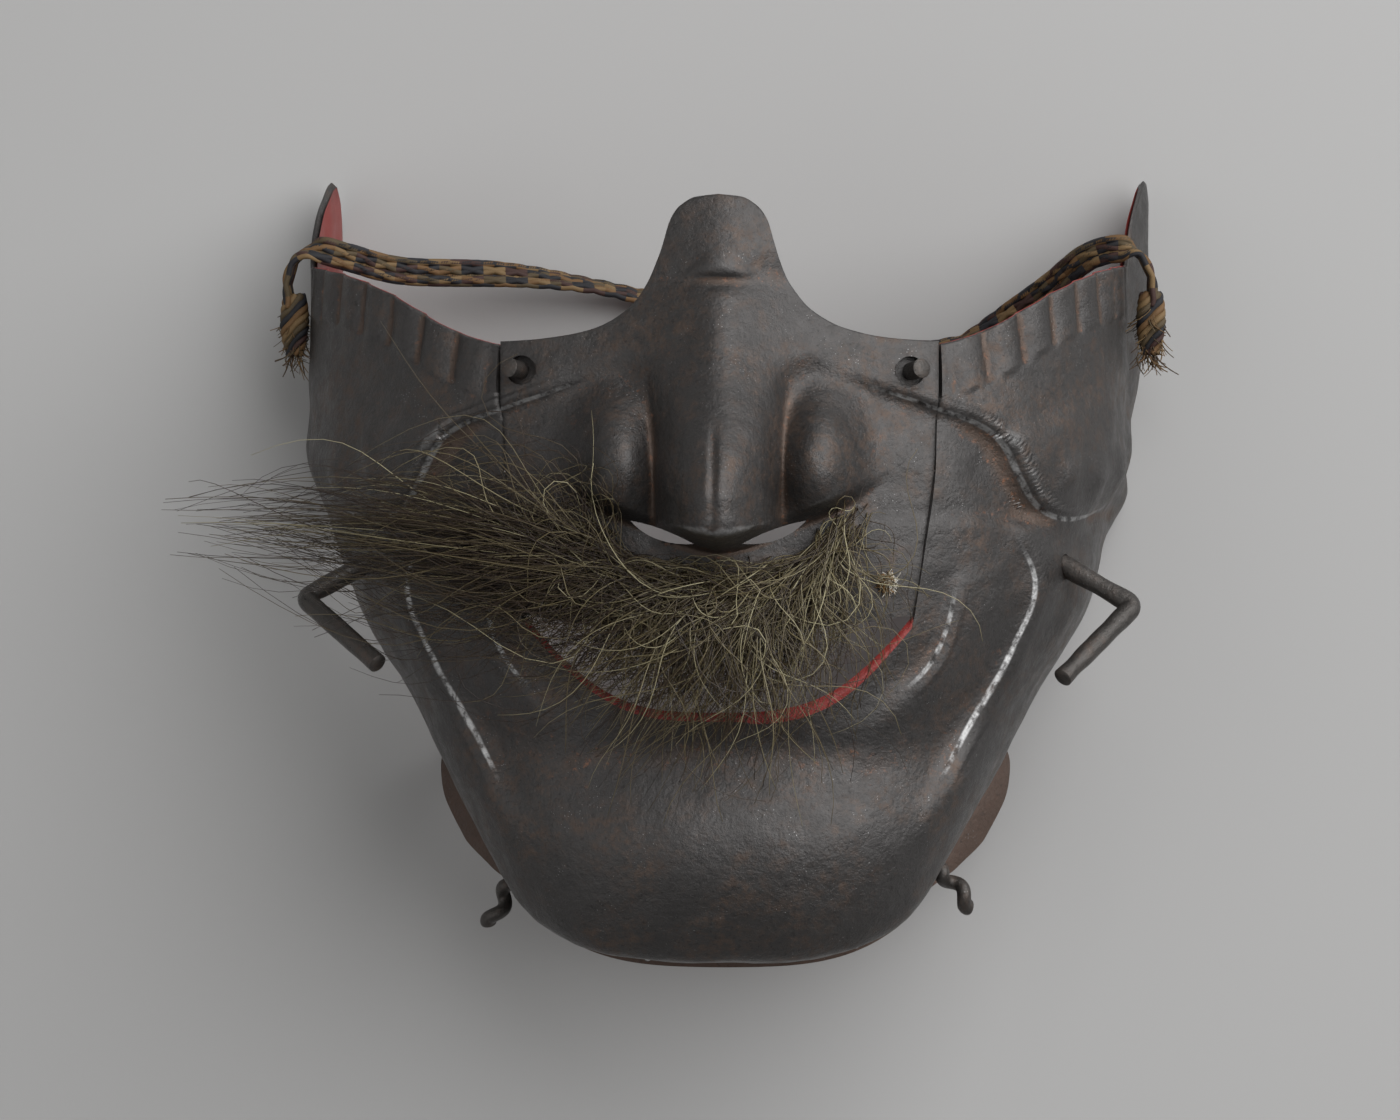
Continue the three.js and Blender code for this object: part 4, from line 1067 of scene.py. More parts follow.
@dataclass
class FaceShell:
    """Cheeks, chin and ears: one forged sheet, lacquered inside."""

    bench: Bench
    form: Form
    relief: CheekRelief
    wall: float = 1.5
    tongue: float = 18.5
    tongue_share: float = 0.46
    joggle: float = 1.9
    ear_angle: float = 77.0
    edge_angle: float = 88.0
    rim_width: float = 0.6
    rim_drop: float = 0.5
    lip_width: float = 1.6
    lip_drop: float = 1.0

    def __post_init__(self) -> None:
        """Spaces the grid's columns and rows."""
        inner, outer = self.form.seam - 0.1, self.form.seam + 0.05
        half = spaced(
            (0, self.tongue, 24), (self.tongue, inner, 10), (inner, outer, 1),
            (outer, self.ear_angle, 84), (self.ear_angle, 90, 20),
        )
        self.angles = np.concatenate([-half[:0:-1], half])
        self.upper = spaced((0, 0.012, 2), (0.012, 0.3, 36), (0.3, 1, 56))
        self.lower = spaced((0, 0.035, 4), (0.035, 1, 56))[1:]
        self.under = spaced((self.form.crease_level, -96, 8), (-96, self.form.last_level, 8))[1:]

    def level(self, angle: Array, row: Array) -> Array:
        """Returns the level of each grid point.

        Args:
            angle: its angle round the form.
            row: its row.

        Returns:
            The level.
        """
        inside = np.abs(angle) < self.form.seam
        last_upper = len(self.upper) - 1
        start = np.where(inside, self.form.lip_level(angle), self.form.mouth_level)
        share = self.upper[np.minimum(row, last_upper)]
        end = np.where(inside, self.form.mouth_level + 0.6, self.form.mouth_level)
        top = self.form.eye_edge(np.abs(angle))
        upper = top + (end - top) * share
        upper = np.where((row == last_upper) | (np.abs(angle) < self.tongue), start, upper)
        below = np.clip(row - last_upper - 1, 0, len(self.lower) - 1)
        lower = start + (self.form.crease_level - start) * self.lower[below]
        deep = np.clip(row - last_upper - 1 - len(self.lower), 0, len(self.under) - 1)
        out = np.where(row <= last_upper, upper, lower)
        return np.where(row > last_upper + len(self.lower), self.under[deep], out)

    def build(self, iron: Material, lacquer: Material) -> Piece:
        """Builds, cuts and dresses the shell.

        Args:
            iron: its outer finish.
            lacquer: its inner finish.

        Returns:
            The finished piece.
        """
        columns, rows = len(self.angles), len(self.upper) + len(self.lower) + len(self.under)
        angle = np.tile(self.angles, rows)
        row = np.repeat(np.arange(rows), columns)
        level = self.level(angle, row)
        point = self.form.point(angle, level)
        normal = self.form.normal(angle, level)
        out, last_upper = np.abs(angle), len(self.upper) - 1
        normal[out > self.edge_angle, 2] = 0
        normal = unit(normal)
        tongue = (out < self.form.seam) & (row < last_upper)
        at_lip = (out < self.form.seam) & (row >= last_upper)
        rim = np.where(row <= last_upper, self.form.eye_edge(out) - point[:, 1], FAR)
        lip = self.form.lip_level(angle) - level
        height = self.relief.height(angle, point) - self.joggle * tongue
        height -= self.rim_drop * rolled(rim, self.rim_width)
        lip_roll = np.clip(1 - lip / self.lip_width, 0, 1) ** 1.5
        height -= np.where(at_lip, self.lip_drop * lip_roll, 0)
        height += hammered(point, 3)
        points = point + normal * height[:, None]
        obj, order = self.bench.grid("face_shell_dressed", columns, rows, points, iron, lacquer)
        bulge = bulging(points, columns, rows, normal, 3)
        bulge = bulge * np.where(row <= last_upper, smoothstep(26.4, 28, out), 1)
        away, crisp = self.relief.edges(point[:, 0], point[:, 1])
        thin = smoothstep(0.25, 0.05, rim) * (out < 76)
        band = smoothstep(1.7, 1.2, lip - 0.05 * point[:, 0].clip(0, 14))
        # edge and crisp shape the fold step, and also place the painted highlight along the folds
        self.bench.paint_grid(
            obj, order, edge=away, crisp=crisp, wear=np.clip(bulge * 0.45, 0, 0.6),
            grime=np.clip(-bulge * 1.2, 0, 1), lacquer=np.where(at_lip, 1.1 * band, 0) + 0.6 * thin,
        )
        self.bench.drop_faces(obj, self.under_plate(obj, angle[order], row[order]))
        self.bench.wall(obj, self.wall)
        for hook in CheekHook.both():
            root = hook.root(self.form)
            self.bench.drill(obj, root, root + (np.array(hook.elbow) - root) * 0.8, hook.hole)
        self.bench.smooth(obj, BEATEN)
        self.bench.finish(obj, "iron", ("face_shell",))
        return obj

    def under_plate(self, obj: Piece, angle: Array, row: Array) -> Array:
        """Marks the faces that the nose plate takes the place of, but for the two tongues.

        Args:
            obj: the sheet.
            angle: each point's angle round the form.
            row: each point's row.

        Returns:
            True for each face to delete.
        """
        corners = np.array([list(p.vertices) for p in obj.data.polygons])
        face_angle = np.abs(angle[corners].mean(axis=1))
        face_row = row[corners].min(axis=1)
        last_upper = len(self.upper) - 1
        gone = (face_row < last_upper) & (face_angle < self.form.seam + 0.1)
        share = self.upper[np.minimum(face_row, last_upper)]
        return gone & ~((face_angle > self.tongue) & (share < self.tongue_share))


# ------------------------------------------------------------------ the nose plate
@dataclass
class NosePlate:
    """Nose, upper lip and inner cheeks: the plate hooked over the studs."""

    bench: Bench
    form: Form
    relief: CheekRelief
    nose: NoseRelief
    wall: float = 1.2
    rim_width: float = 0.6
    rim_drop: float = 0.25
    lip_rim: float = 1.5
    half: float = 40.3
    top_share: float = 1.055
    shoulder_y: float = 37.5
    lip_y: float = -5.0
    last_y: float = -9.0
    lip_gap: float = 0.6
    lip_sag: float = 3.4
    mouth_half: float = 38.0
    top_points: Pairs = (
        (0, 71.2), (4.8, 70.7), (8, 69), (10, 66.4), (11.2, 62.5), (12.4, 58.8), (14.9, 53.6),
        (19, 48.8), (25, 45.3), (31.3, 43.8), (37, 43.2), (44, 43),
    )

    def __post_init__(self) -> None:
        """Spaces the grid."""
        self.top = SmoothTable(self.top_points)
        half = spaced((0, 30, 74), (30, self.half, 18))
        self.shares = np.concatenate([-half[:0:-1], half])
        self.upper = spaced((0, 0.02, 2), (0.02, 1, 56))
        self.lower = spaced((self.shoulder_y, self.lip_y, 108), (self.lip_y, self.last_y, 7))[1:]

    def height(self, x: Array, y: Array) -> Array:
        """Finds the plate's outer side.

        Args:
            x: places across.
            y: places up.

        Returns:
            The plate's z at each place.
        """
        reach = np.minimum(0.98, np.abs(x) / self.form.x_edge(y))
        z_edge = self.form.z_edge(y)
        base = z_edge + (self.form.z_mid(y) - z_edge) * self.form.left(reach)
        slope = 1 + 0.25 * smoothstep(15, 45, np.abs(x))
        return base + self.nose.height(x, y) + self.relief.fold_height(x, y) * slope

    def across(self, share: Array, y: Array) -> Array:
        """Places the grid's columns: the outer ones follow the seam.

        Args:
            share: each column's own place, in millimetres.
            y: places up.

        Returns:
            Each point's x.
        """
        side = np.abs(share) / self.half
        seam = self.form.x_edge(y) * self.form.reach(np.array(self.form.seam - 0.2))
        blend = smoothstep(0, 1, np.clip((side - 0.2) / 0.8, 0, 1))
        return share + (seam * share / self.half - share) * blend

    def facing(self, x: Array, y: Array) -> Array:
        """Returns the plate's outward unit normal at places of the front view."""
        e = 0.25
        across = (self.height(x + e, y) - self.height(x - e, y)) / (2 * e)
        along = (self.height(x, y + e) - self.height(x, y - e)) / (2 * e)
        return unit(np.stack([-across, -along, np.ones_like(x)], axis=-1))

    def build(self, iron: Material, lacquer: Material) -> Piece:
        """Builds, cuts and dresses the plate.

        Args:
            iron: its outer finish.
            lacquer: its inner finish.

        Returns:
            The finished piece.
        """
        columns, rows = len(self.shares), len(self.upper) + len(self.lower) + 1
        share = np.tile(self.shares, rows)
        row = np.repeat(np.arange(rows), columns)
        in_upper = row < len(self.upper)
        top = self.top(np.abs(share) * self.top_share)
        upper = top + (self.shoulder_y - top) * self.upper[np.minimum(row, len(self.upper) - 1)]
        lower = self.lower[np.clip(row - len(self.upper), 0, len(self.lower) - 1)]
        y = np.where(in_upper, upper, lower)
        x = self.across(share, y)
        lip, mouth = row == rows - 1, self.form.mouth_level
        x_lip = self.across(share, np.full(len(share), mouth))
        y = np.where(lip, mouth + self.lip_gap - self.lip_sag * (1 - (x_lip / self.mouth_half) ** 2), y)
        x = np.where(lip, x_lip, x)
        normal = self.facing(x, y)
        points = np.stack([x, y, self.height(x, y)], axis=-1)
        rim = np.where(in_upper, np.minimum(top - y, FAR), FAR)
        above_lip = np.where(in_upper, FAR, y - (mouth - self.lip_rim))
        edge = np.minimum(np.minimum(rim, self.half - np.abs(share)), np.maximum(above_lip, 0))
        drop = self.rim_drop * rolled(edge, self.rim_width) - hammered(points, 5)
        points = points - normal * drop[:, None]
        obj, order = self.bench.grid("nose_plate_dressed", columns, rows, points, iron, lacquer)
        bulge = bulging(points, columns, rows, normal, 4) * smoothstep(0.2, 1.2, edge)
        away, crisp = self.relief.edges(x, y)
        self.bench.paint_grid(
            obj, order, edge=away, crisp=crisp, wear=np.clip(bulge * 0.5, 0, 0.6),
            grime=np.clip(-bulge, 0, 1), lacquer=0.3 * smoothstep(0.3, 0.05, rim),
        )
        self.bench.wall(obj, self.wall)
        for side in (-1, 1):
            self.bench.cut(obj, self.nostril(side))
        for x0, y0, radius in self.holes():
            self.bench.drill(obj, np.array([x0, y0, 60.0]), np.array([x0, y0, 130.0]), radius, 40)
        self.bench.smooth(obj, BEATEN)
        self.bench.finish(obj, "iron", ("nose_plate",))
        return obj

    @staticmethod
    def holes() -> list[Vec3]:
        """Returns the x, y and radius of each round hole: the studs' and the plug's."""
        studs = [(stud.x, stud.y, stud.hole) for stud in NoseStud.both()]
        return [*studs, (*HairPlug.place, HairPlug.hole)]

    def nostril(self, side: int) -> Piece:
        """Makes a cutter for the slit of one nostril.

        Args:
            side: -1 for the left, 1 for the right.

        Returns:
            The cutter.
        """
        outer, inner = np.array([[17, 7.6]]), np.array([[4.6, 3.1]])
        upper = arc(outer, np.array([[11, 6.6]]), inner, 14)
        lower = arc(inner, np.array([[12.5, 2.6]]), outer, 14)
        outline = np.concatenate([upper, lower[1:-1]]) * [side, 1]
        n = len(outline)
        points = np.concatenate([np.c_[outline, np.full(n, z)] for z in (70.0, 130.0)])
        faces = [list(range(n))[::-1], list(range(n, 2 * n))]
        faces += [[k, (k + 1) % n, (k + 1) % n + n, k + n] for k in range(n)]
        cutter = self.bench.mesh("nostril", self.bench.place(points), faces)
        self.bench.recalculate(cutter)
        return cutter


# ------------------------------------------------------------------ rods, studs and pegs
@dataclass(frozen=True)
class CheekHook:
    """A bent rod riveted through a cheek."""

    name: str
    base: tuple[float, float]
    elbow: Vec3
    tip: Vec3
    radius: float = 2.0
    behind: float = 4.7
    bend: float = 2.2
    hole: float = 2.2

    @staticmethod
    def both() -> tuple["CheekHook", "CheekHook"]:
        """Returns the two hooks."""
        return (
            CheekHook("left", (-71.4, -0.4), (-83.8, -7.6, 61), (-67.2, -20.6, 75)),
            CheekHook("right", (69.6, -1.4), (82.6, -9.1, 61), (67.2, -23.3, 75)),
        )

    def root(self, form: Form) -> Array:
        """Finds the rod's inner end, behind the shell.

        Args:
            form: the form that it is set in.

        Returns:
            The end's place.
        """
        x, y = self.base
        foot = np.array([x, y, float(form.height(np.array(x), np.array(y)))])
        return foot + unit(foot - np.array(self.elbow)) * self.behind

    def build(self, bench: Bench, form: Form, iron: Material) -> Piece:
        """Builds and dresses the rod.

        Args:
            bench: the bench.
            form: the form that it is set in.
            iron: its finish.

        Returns:
            The finished piece.
        """
        root, corner, tip = self.root(form), np.array(self.elbow), np.array(self.tip)
        first, second = corner - root, tip - corner
        a, b = unit(first), unit(second)
        straight = [root + first * t for t in np.linspace(0, 0.84, 16)]
        bend = arc(corner - self.bend * a, corner, corner + self.bend * b, 9)
        last = [corner + second * t for t in np.linspace(0.12, 0.985, 18)]
        line = np.concatenate([straight, bend, last, [tip]])
        radius = self.radius * (1 + 0.035 * Ripple(11, 4)(line))
        radius[0] *= 0.8
        radius[-2:] *= [0.97, 0.72]
        head = np.array([root + a * t for t in (-0.2, 0.1, 0.9, 1.1)])
        obj = bench.rod(f"cheek_hook_{self.name}_dressed", line, radius, 22)
        rivet = bench.rod("rivet", head, np.array([2.2, 2.9, 2.8, 1.7]), 22)
        bench.only(obj)
        rivet.select_set(True)
        bpy.ops.object.join()
        return bench.finish_rod(obj, f"cheek_hook_{self.name}", iron, 40)


@dataclass(frozen=True)
class ChinPeg:
    """A twisted peg under the jaw."""

    name: str
    angle: float
    direction: Vec3
    level: float = -101.0
    stands: float = 12.0
    turns: float = 1.7
    radius: float = 1.45

    @staticmethod
    def both() -> tuple["ChinPeg", "ChinPeg"]:
        """Returns the two pegs."""
        return (
            ChinPeg("left", -42.5, (-0.42, -0.9, -0.1)),
            ChinPeg("right", 44.5, (0.64, -0.77, -0.1)),
        )

    def build(self, bench: Bench, form: Form, iron: Material) -> Piece:
        """Builds and dresses the peg.

        Args:
            bench: the bench.
            form: the form that it is set in.
            iron: its finish.

        Returns:
            The finished piece.
        """
        seat = form.point(np.array([self.angle]), np.array([self.level]))[0]
        out = unit(np.array(self.direction))
        across = unit(np.cross([0, 0, 1.0], out))
        up = np.cross(out, across)
        along = np.linspace(-4, self.stands, 64)[:, None]
        twist = 2 * math.pi * self.turns * along / self.stands
        offset = 0.95 * smoothstep(0.5, 3, along)
        line = seat + along * out + offset * np.cos(twist) * across + offset * np.sin(twist) * up
        radius = self.radius + 0.25 * smoothstep(9.5, 11, along[:, 0])
        radius[-3:] *= [0.95, 0.8, 0.4]
        obj = bench.rod(f"chin_peg_{self.name}_dressed", line, radius, 18)
        return bench.finish_rod(obj, f"chin_peg_{self.name}", iron)


@dataclass(frozen=True)
class NoseStud:
    """A stud of the shell's tongue, bent over the nose plate."""

    name: str
    x: float
    y: float
    side: int
    radius: float = 1.75
    hole: float = 2.9

    @staticmethod
    def both() -> tuple["NoseStud", "NoseStud"]:
        """Returns the two studs."""
        return (NoseStud("left", -38.8, 37.2, -1), NoseStud("right", 37.4, 36.9, 1))

    def build(self, bench: Bench, plate: NosePlate, iron: Material) -> Piece:
        """Builds and dresses the stud.

        Args:
            bench: the bench.
            plate: the plate that it holds.
            iron: its finish.

        Returns:
            The finished piece.
        """
        x = self.x + self.side * 0.55
        z = float(plate.height(np.array(x), np.array(self.y)))
        foot = np.array([x - self.side * 1.2, self.y, z - 7])
        bend = np.array([x, self.y, z + 0.4])
        tip = np.array([x + self.side * 1.7, self.y + 0.4, z + 3.4])
        knee = arc(bend + (foot - bend) * 0.25, bend, bend + (tip - bend) * 0.4, 12)
        line = np.concatenate([[foot], knee, [tip - (tip - bend) * 0.08, tip]])
        radius = np.full(len(line), self.radius)
        radius[-2:] *= [1.1, 0.85]
        obj = bench.rod(f"nose_stud_{self.name}_dressed", line, radius, 22)
        return bench.finish_rod(obj, f"nose_stud_{self.name}", iron)


# ------------------------------------------------------------------ the collar
@dataclass
class ThroatCollar:
    """The russet collar behind the jaw, with its side lobes and lacing holes."""

    bench: Bench
    form: Form
    wall: float = 1.4
    step: float = 1.0
    droop: float = 0.075
    clearance: float = 0.05
    lacing_holes: int = 6
    lacing_pitch: float = 12.0
    lacing_radius: float = 0.75
    lacing_inset: float = 1.5
    width_points: Pairs = (
        (0, 3), (30, 2.6), (40, 2.8), (46, 6.4), (53, 9), (62, 8.8), (72, 7), (82, 4.6), (90, 1.6),
    )

    def build(self, russet: Material) -> Piece:
        """Builds, pierces and dresses the collar.

        Args:
            russet: its finish.

        Returns:
            The finished piece.
        """
        width = SmoothTable(self.width_points)
        half = np.linspace(0, 90, 150)
        angles = np.concatenate([-half[:0:-1], half])
        shares = spaced((-3, -0.2, 6), (0, 1, 14))
        columns, rows = len(angles), len(shares)
        angle = np.tile(angles, rows)
        share = np.repeat(shares, columns)
        base, out = self.seat(angle)
        reach = np.where(share <= 0, share, share * width(np.abs(angle)))
        points = base + out * reach[:, None]
        z = base[:, 2] - self.step - self.droop * np.maximum(0, reach) ** 2
        points[:, 2] = np.maximum(z, self.clearance + self.wall)
        obj, _ = self.bench.grid("throat_flange_dressed", columns, rows, points, russet)
        self.bench.wall(obj, self.wall, inner=0)
        for hole in range(1, self.lacing_holes + 1):
            for side in (-1, 1):
                base, out = self.seat(np.array([side * self.lacing_pitch * hole]))
                at = base[0] + out[0] * self.lacing_inset
                self.bench.drill(obj, at - [0, 0, 8], at + [0, 0, 5], self.lacing_radius)
        self.bench.leave_plain(obj)
        self.bench.smooth(obj, 50)
        self.bench.finish(obj, "russet", ("throat_flange",))
        return obj

    def seat(self, angle: Array) -> tuple[Array, Array]:
        """Finds where the collar leaves the shell.

        Args:
            angle: degrees round the form.

        Returns:
            The points, and the level direction away from the shell at each.
        """
        last = np.full(len(angle), self.form.last_level)
        return self.form.point(angle, last), unit(self.form.normal(angle, last) * [1, 1, 0])


# ------------------------------------------------------------------ hair
@dataclass(frozen=True)
class Tuft:
    """A spray of hairs that leave a stretch of the lip in one direction.

    Angles are degrees from +x; curl is how far, in degrees, a hair turns over its length. Tips are
    drawn by the share gather towards gather_y, a height and its scatter.
    """

    count: int
    root: tuple[float, float]
    root_end: tuple[float, float]
    heading: float
    heading_end: float
    fan: float
    length: tuple[float, float]
    lift: float
    curl: float = 50.0
    turn: float = 0.0
    shade: float = 0.5
    gather: float = 0.0
    gather_y: tuple[float, float] = (0.0, 1.0)


class HairMaker:
    """Makes many tapered hairs as one mesh."""

    def __init__(self, bench: Bench, seed: int) -> None:
        """Starts the random draws.

        Args:
            bench: the bench.
            seed: which draws.
        """
        self.bench = bench
        self.rng = np.random.default_rng(seed)

    def strands(self, name: str, lines: Array, radius: Array, shade: Array) -> Piece:
        """Builds three-sided tapered strands.

        Args:
            name: the piece's name.
            lines: (strands, points, 3) mask millimetres.
            radius: root radius of each strand, in millimetres.
            shade: colour place of each strand, 0 to 1.

        Returns:
            One mesh of all the strands.
        """
        count, steps, _ = lines.shape
        tangent = np.gradient(lines, axis=1)
        tangent /= np.linalg.norm(tangent, axis=2, keepdims=True) + 1e-9
        side = np.cross(tangent, np.array([0.2, 0.35, 1.0]))
        side /= np.linalg.norm(side, axis=2, keepdims=True) + 1e-9
        up = np.cross(tangent, side)
        taper = np.linspace(1, 0.4, steps)[None, :, None]
        r = radius[:, None, None] * taper
        rings = []
        for k in range(3):
            turn = 2 * math.pi * k / 3
            rings.append(lines + r * (math.cos(turn) * side + math.sin(turn) * up))
        points = np.stack(rings, axis=2).reshape(-1, 3)
        base = (np.arange(count) * steps * 3)[:, None]
        faces = []
        ring = (np.arange(steps - 1) * 3)[None, :]
        for k in range(3):
            a, b = base + ring + k, base + ring + (k + 1) % 3
            faces.append(np.stack([a, b, b + 3, a + 3], axis=-1).reshape(-1, 4))
        quads = np.concatenate(faces)
        caps = np.concatenate([
            (base + np.array([[2, 1, 0]])), (base + (steps - 1) * 3 + np.array([[0, 1, 2]])),
        ])
        obj = self.bench.mesh(name, self.bench.place(points), quads.tolist() + caps.tolist())
        self.bench.paint(obj, "shade", np.repeat(shade, steps * 3))
        self.bench.only(obj)
        bpy.ops.object.shade_smooth()
        return obj


@dataclass
class Moustache:
    """Hair set along the upper lip, most of it swept to one side."""

    bench: Bench
    form: Form
    plate: NosePlate
    steps: int = 14
    cycle: float = 6.28
    nose_half: float = 18.0
    nose_y: float = 1.2
    left_limit: float = -111.0
    plate_half: float = 38.0
    tufts: dict[str, tuple[Tuft, ...]] = field(default_factory=lambda: {
        "moustache_sweep": (
            Tuft(480, (-30, 4), (-6, -5), 178, 174, 6, (40, 96), 7, 44, 0, 0.4, 0.8, (7.5, 3)),
            Tuft(250, (-30, 3), (-4, -6), 182, 179, 8, (26, 72), 7, 60, 2, 0.4, 0.6, (1, 5)),
            Tuft(110, (-24, 0), (-2, -7), 190, 206, 10, (30, 70), 7, 70, 6, 0.34, 0.6, (-20, 7)),
        ),
        "moustache_middle": (
            Tuft(480, (-24, 2), (8, -7), 180, 206, 18, (16, 42), 9, 80, 0, 0.5),
            Tuft(300, (-14, -3), (14, -7), 198, 230, 20, (18, 44), 8, 90, 0, 0.55),
        ),
        "moustache_front": (
            Tuft(520, (6, -7), (26, 8), 232, 230, 11, (24, 56), 9, 55, 0, 0.62),
            Tuft(240, (14, -6), (27, 10), 246, 252, 12, (14, 34), 7, 60, 0, 0.6),
            Tuft(260, (-6, -7), (18, -5), 216, 236, 16, (22, 48), 8, 80, 0, 0.5),
        ),
        "moustache_strays": (
            Tuft(240, (-26, 3), (24, 4), 150, 300, 50, (7, 17), 6, 140, 0, 0.5),
            Tuft(150, (-14, -14), (10, -18), 205, 250, 30, (16, 32), 4, 90, 0, 0.2),
            Tuft(46, (-30, 4), (22, 2), 120, 250, 50, (26, 60), 9, 150, 0, 0.45),
        ),
    })

    def lines(self, maker: HairMaker, tuft: Tuft) -> Array:
        """Draws one tuft's hairs.

        Args:
            maker: whose random draws are used.
            tuft: the tuft.

        Returns:
            (hairs, steps, 3) mask millimetres, without hairs over the nostrils or too far left.
        """
        rng, n = maker.rng, tuft.count
        pick = rng.random(n)
        root = np.outer(1 - pick, tuft.root) + np.outer(pick, tuft.root_end)
        root = root + rng.normal(0, 1.7, (n, 2))
        mean = tuft.heading + (tuft.heading_end - tuft.heading) * pick
        heading = np.radians(mean + rng.normal(0, tuft.fan, n))
        length = rng.uniform(*tuft.length, n) * rng.uniform(0.75, 1.05, n)
        bend = np.radians(tuft.turn + rng.normal(0, tuft.curl * 0.5, n))
        wave = np.radians(rng.normal(0, tuft.curl * 0.6, n))
        phase, beat = rng.uniform(0, self.cycle, n), rng.uniform(0.5, 1.3, n)
        x, y = [root[:, 0]], [root[:, 1]]
        for k in range(1, self.steps):
            t = k / (self.steps - 1)
            sway = np.sin(phase + self.cycle * beat * t) - np.sin(phase)
            way = heading + bend * t + wave * sway
            x.append(x[-1] + length / (self.steps - 1) * np.cos(way))
            y.append(y[-1] + length / (self.steps - 1) * np.sin(way))
        x, y = np.stack(x, axis=1), np.stack(y, axis=1)
        pull = tuft.gather * np.linspace(0, 1, self.steps)[None, :] ** 1.5
        y = y + (rng.normal(*tuft.gather_y, n)[:, None] - y) * pull
        over_nose = ((np.abs(x) < self.nose_half) & (y > self.nose_y)).any(axis=1)
        clear = ~over_nose & (x.min(axis=1) > self.left_limit)
        lift = rng.uniform(0.15, 1.0, n)[:, None] * tuft.lift
        return np.stack([x, y, self.heights(x, y, root, lift)], axis=-1)[clear]

    def heights(self, x: Array, y: Array, root: Array, lift: Array) -> Array:
        """Lays hairs over the mask, arched off it and never under its skin.

        Args:
            x: (hairs, steps) places across.
            y: their places up.
            root: where each hair leaves the lip.
            lift: how far each hair may arch, in millimetres.

        Returns:
            The z of each point.
        """
        wide, bottom, top, lowest = 78, -72, 60, 40
        sunk, clear, jaw_y = 0.6, 0.8, -12
        t = np.linspace(0, 1, self.steps)[None, :]
        start = self.plate.height(root[:, 0], np.maximum(root[:, 1], self.plate.last_y + 1))
        ground = self.form.height(np.clip(x, -wide, wide).ravel(), np.clip(y, bottom, top).ravel())
        ground = np.maximum(ground.reshape(x.shape), lowest)
        arch = lift * np.sin(math.pi * np.minimum(t * 0.9, 1) ** 0.8)
        rise = start[:, None] + 0.35 * (ground - ground[:, :1]) * t + arch
        plate = self.plate.height(x.ravel(), np.maximum(y, self.plate.last_y).ravel()).reshape(x.shape)
        skin = np.where(np.abs(x) < self.plate_half, plate, ground)
        skin = np.where(y > jaw_y, np.maximum(skin, ground), ground)
        z = np.maximum(rise, skin + clear + 0.4 * lift * t)
        z[:, 0] = start - sunk
        return z

    def build(self, hair: Material) -> list[Piece]:
        """Builds and dresses all the hair.

        Args:
            hair: its finish.

        Returns:
            The finished pieces.
        """
        pieces = []
        maker = HairMaker(self.bench, 21)
        for name, tufts in self.tufts.items():
            sprays = [self.lines(maker, tuft) for tuft in tufts]
            lines = np.concatenate(sprays)
            shade = [maker.rng.normal(tuft.shade, 0.25, len(spray)) for tuft, spray in zip(tufts, sprays)]
            shade = np.concatenate(shade)
            radius = maker.rng.uniform(0.09, 0.17, len(lines))
            obj = maker.strands(name, lines, radius, np.clip(shade, 0, 1))
            self.bench.finish(obj, "hair", ("moustache",), hair)
            pieces.append(obj)
        return pieces


# ------------------------------------------------------------------ the cord
class Silk(Enum):
    """Colours of the cord's strands, as places on the silk's colour ramp."""

    NIGHT = 0.0
    GOLD = 0.25
    OLIVE = 0.5
    MAROON = 0.75
    STRAW = 1.0


def tubes(
    bench: Bench, name: str, lines: list[Array], sides: int, wide: list[Array], thick: list[Array],
    shades: list[float],
) -> Piece:
    """Builds oval strands as one mesh.

    Args:
        bench: the bench.
        name: the piece's name.
        lines: each strand's middle line, in mask millimetres.
        sides: points round a strand.
        wide: each strand's half width at its points, as vectors.
        thick: each strand's half thickness at its points, as vectors.
        shades: each strand's colour place.

    Returns:
        The mesh object.
    """
    points, faces, shade, base = [], [], [], 0
    turn = 2 * math.pi * np.arange(sides) / sides
    for line, across, up, colour in zip(lines, wide, thick, shades):
        n = len(line)
        ring = line[:, None] + np.cos(turn)[None, :, None] * across[:, None]
        ring = ring + np.sin(turn)[None, :, None] * up[:, None]
        points.append(ring.reshape(-1, 3))
        rows = base + np.arange(n - 1) * sides
        for k in range(sides):
            a, b = rows + k, rows + (k + 1) % sides
            faces += np.stack([a, b, b + sides, a + sides], axis=-1).tolist()
        faces.append([base + k for k in range(sides)][::-1])
        faces.append([base + (n - 1) * sides + k for k in range(sides)])
        shade.append(np.full(n * sides, colour))
        base += n * sides
    obj = bench.mesh(name, bench.place(np.concatenate(points)), faces)
    bench.recalculate(obj)
    bench.paint(obj, "shade", np.concatenate(shade))
    bench.only(obj)
    bpy.ops.object.shade_smooth()
    return obj


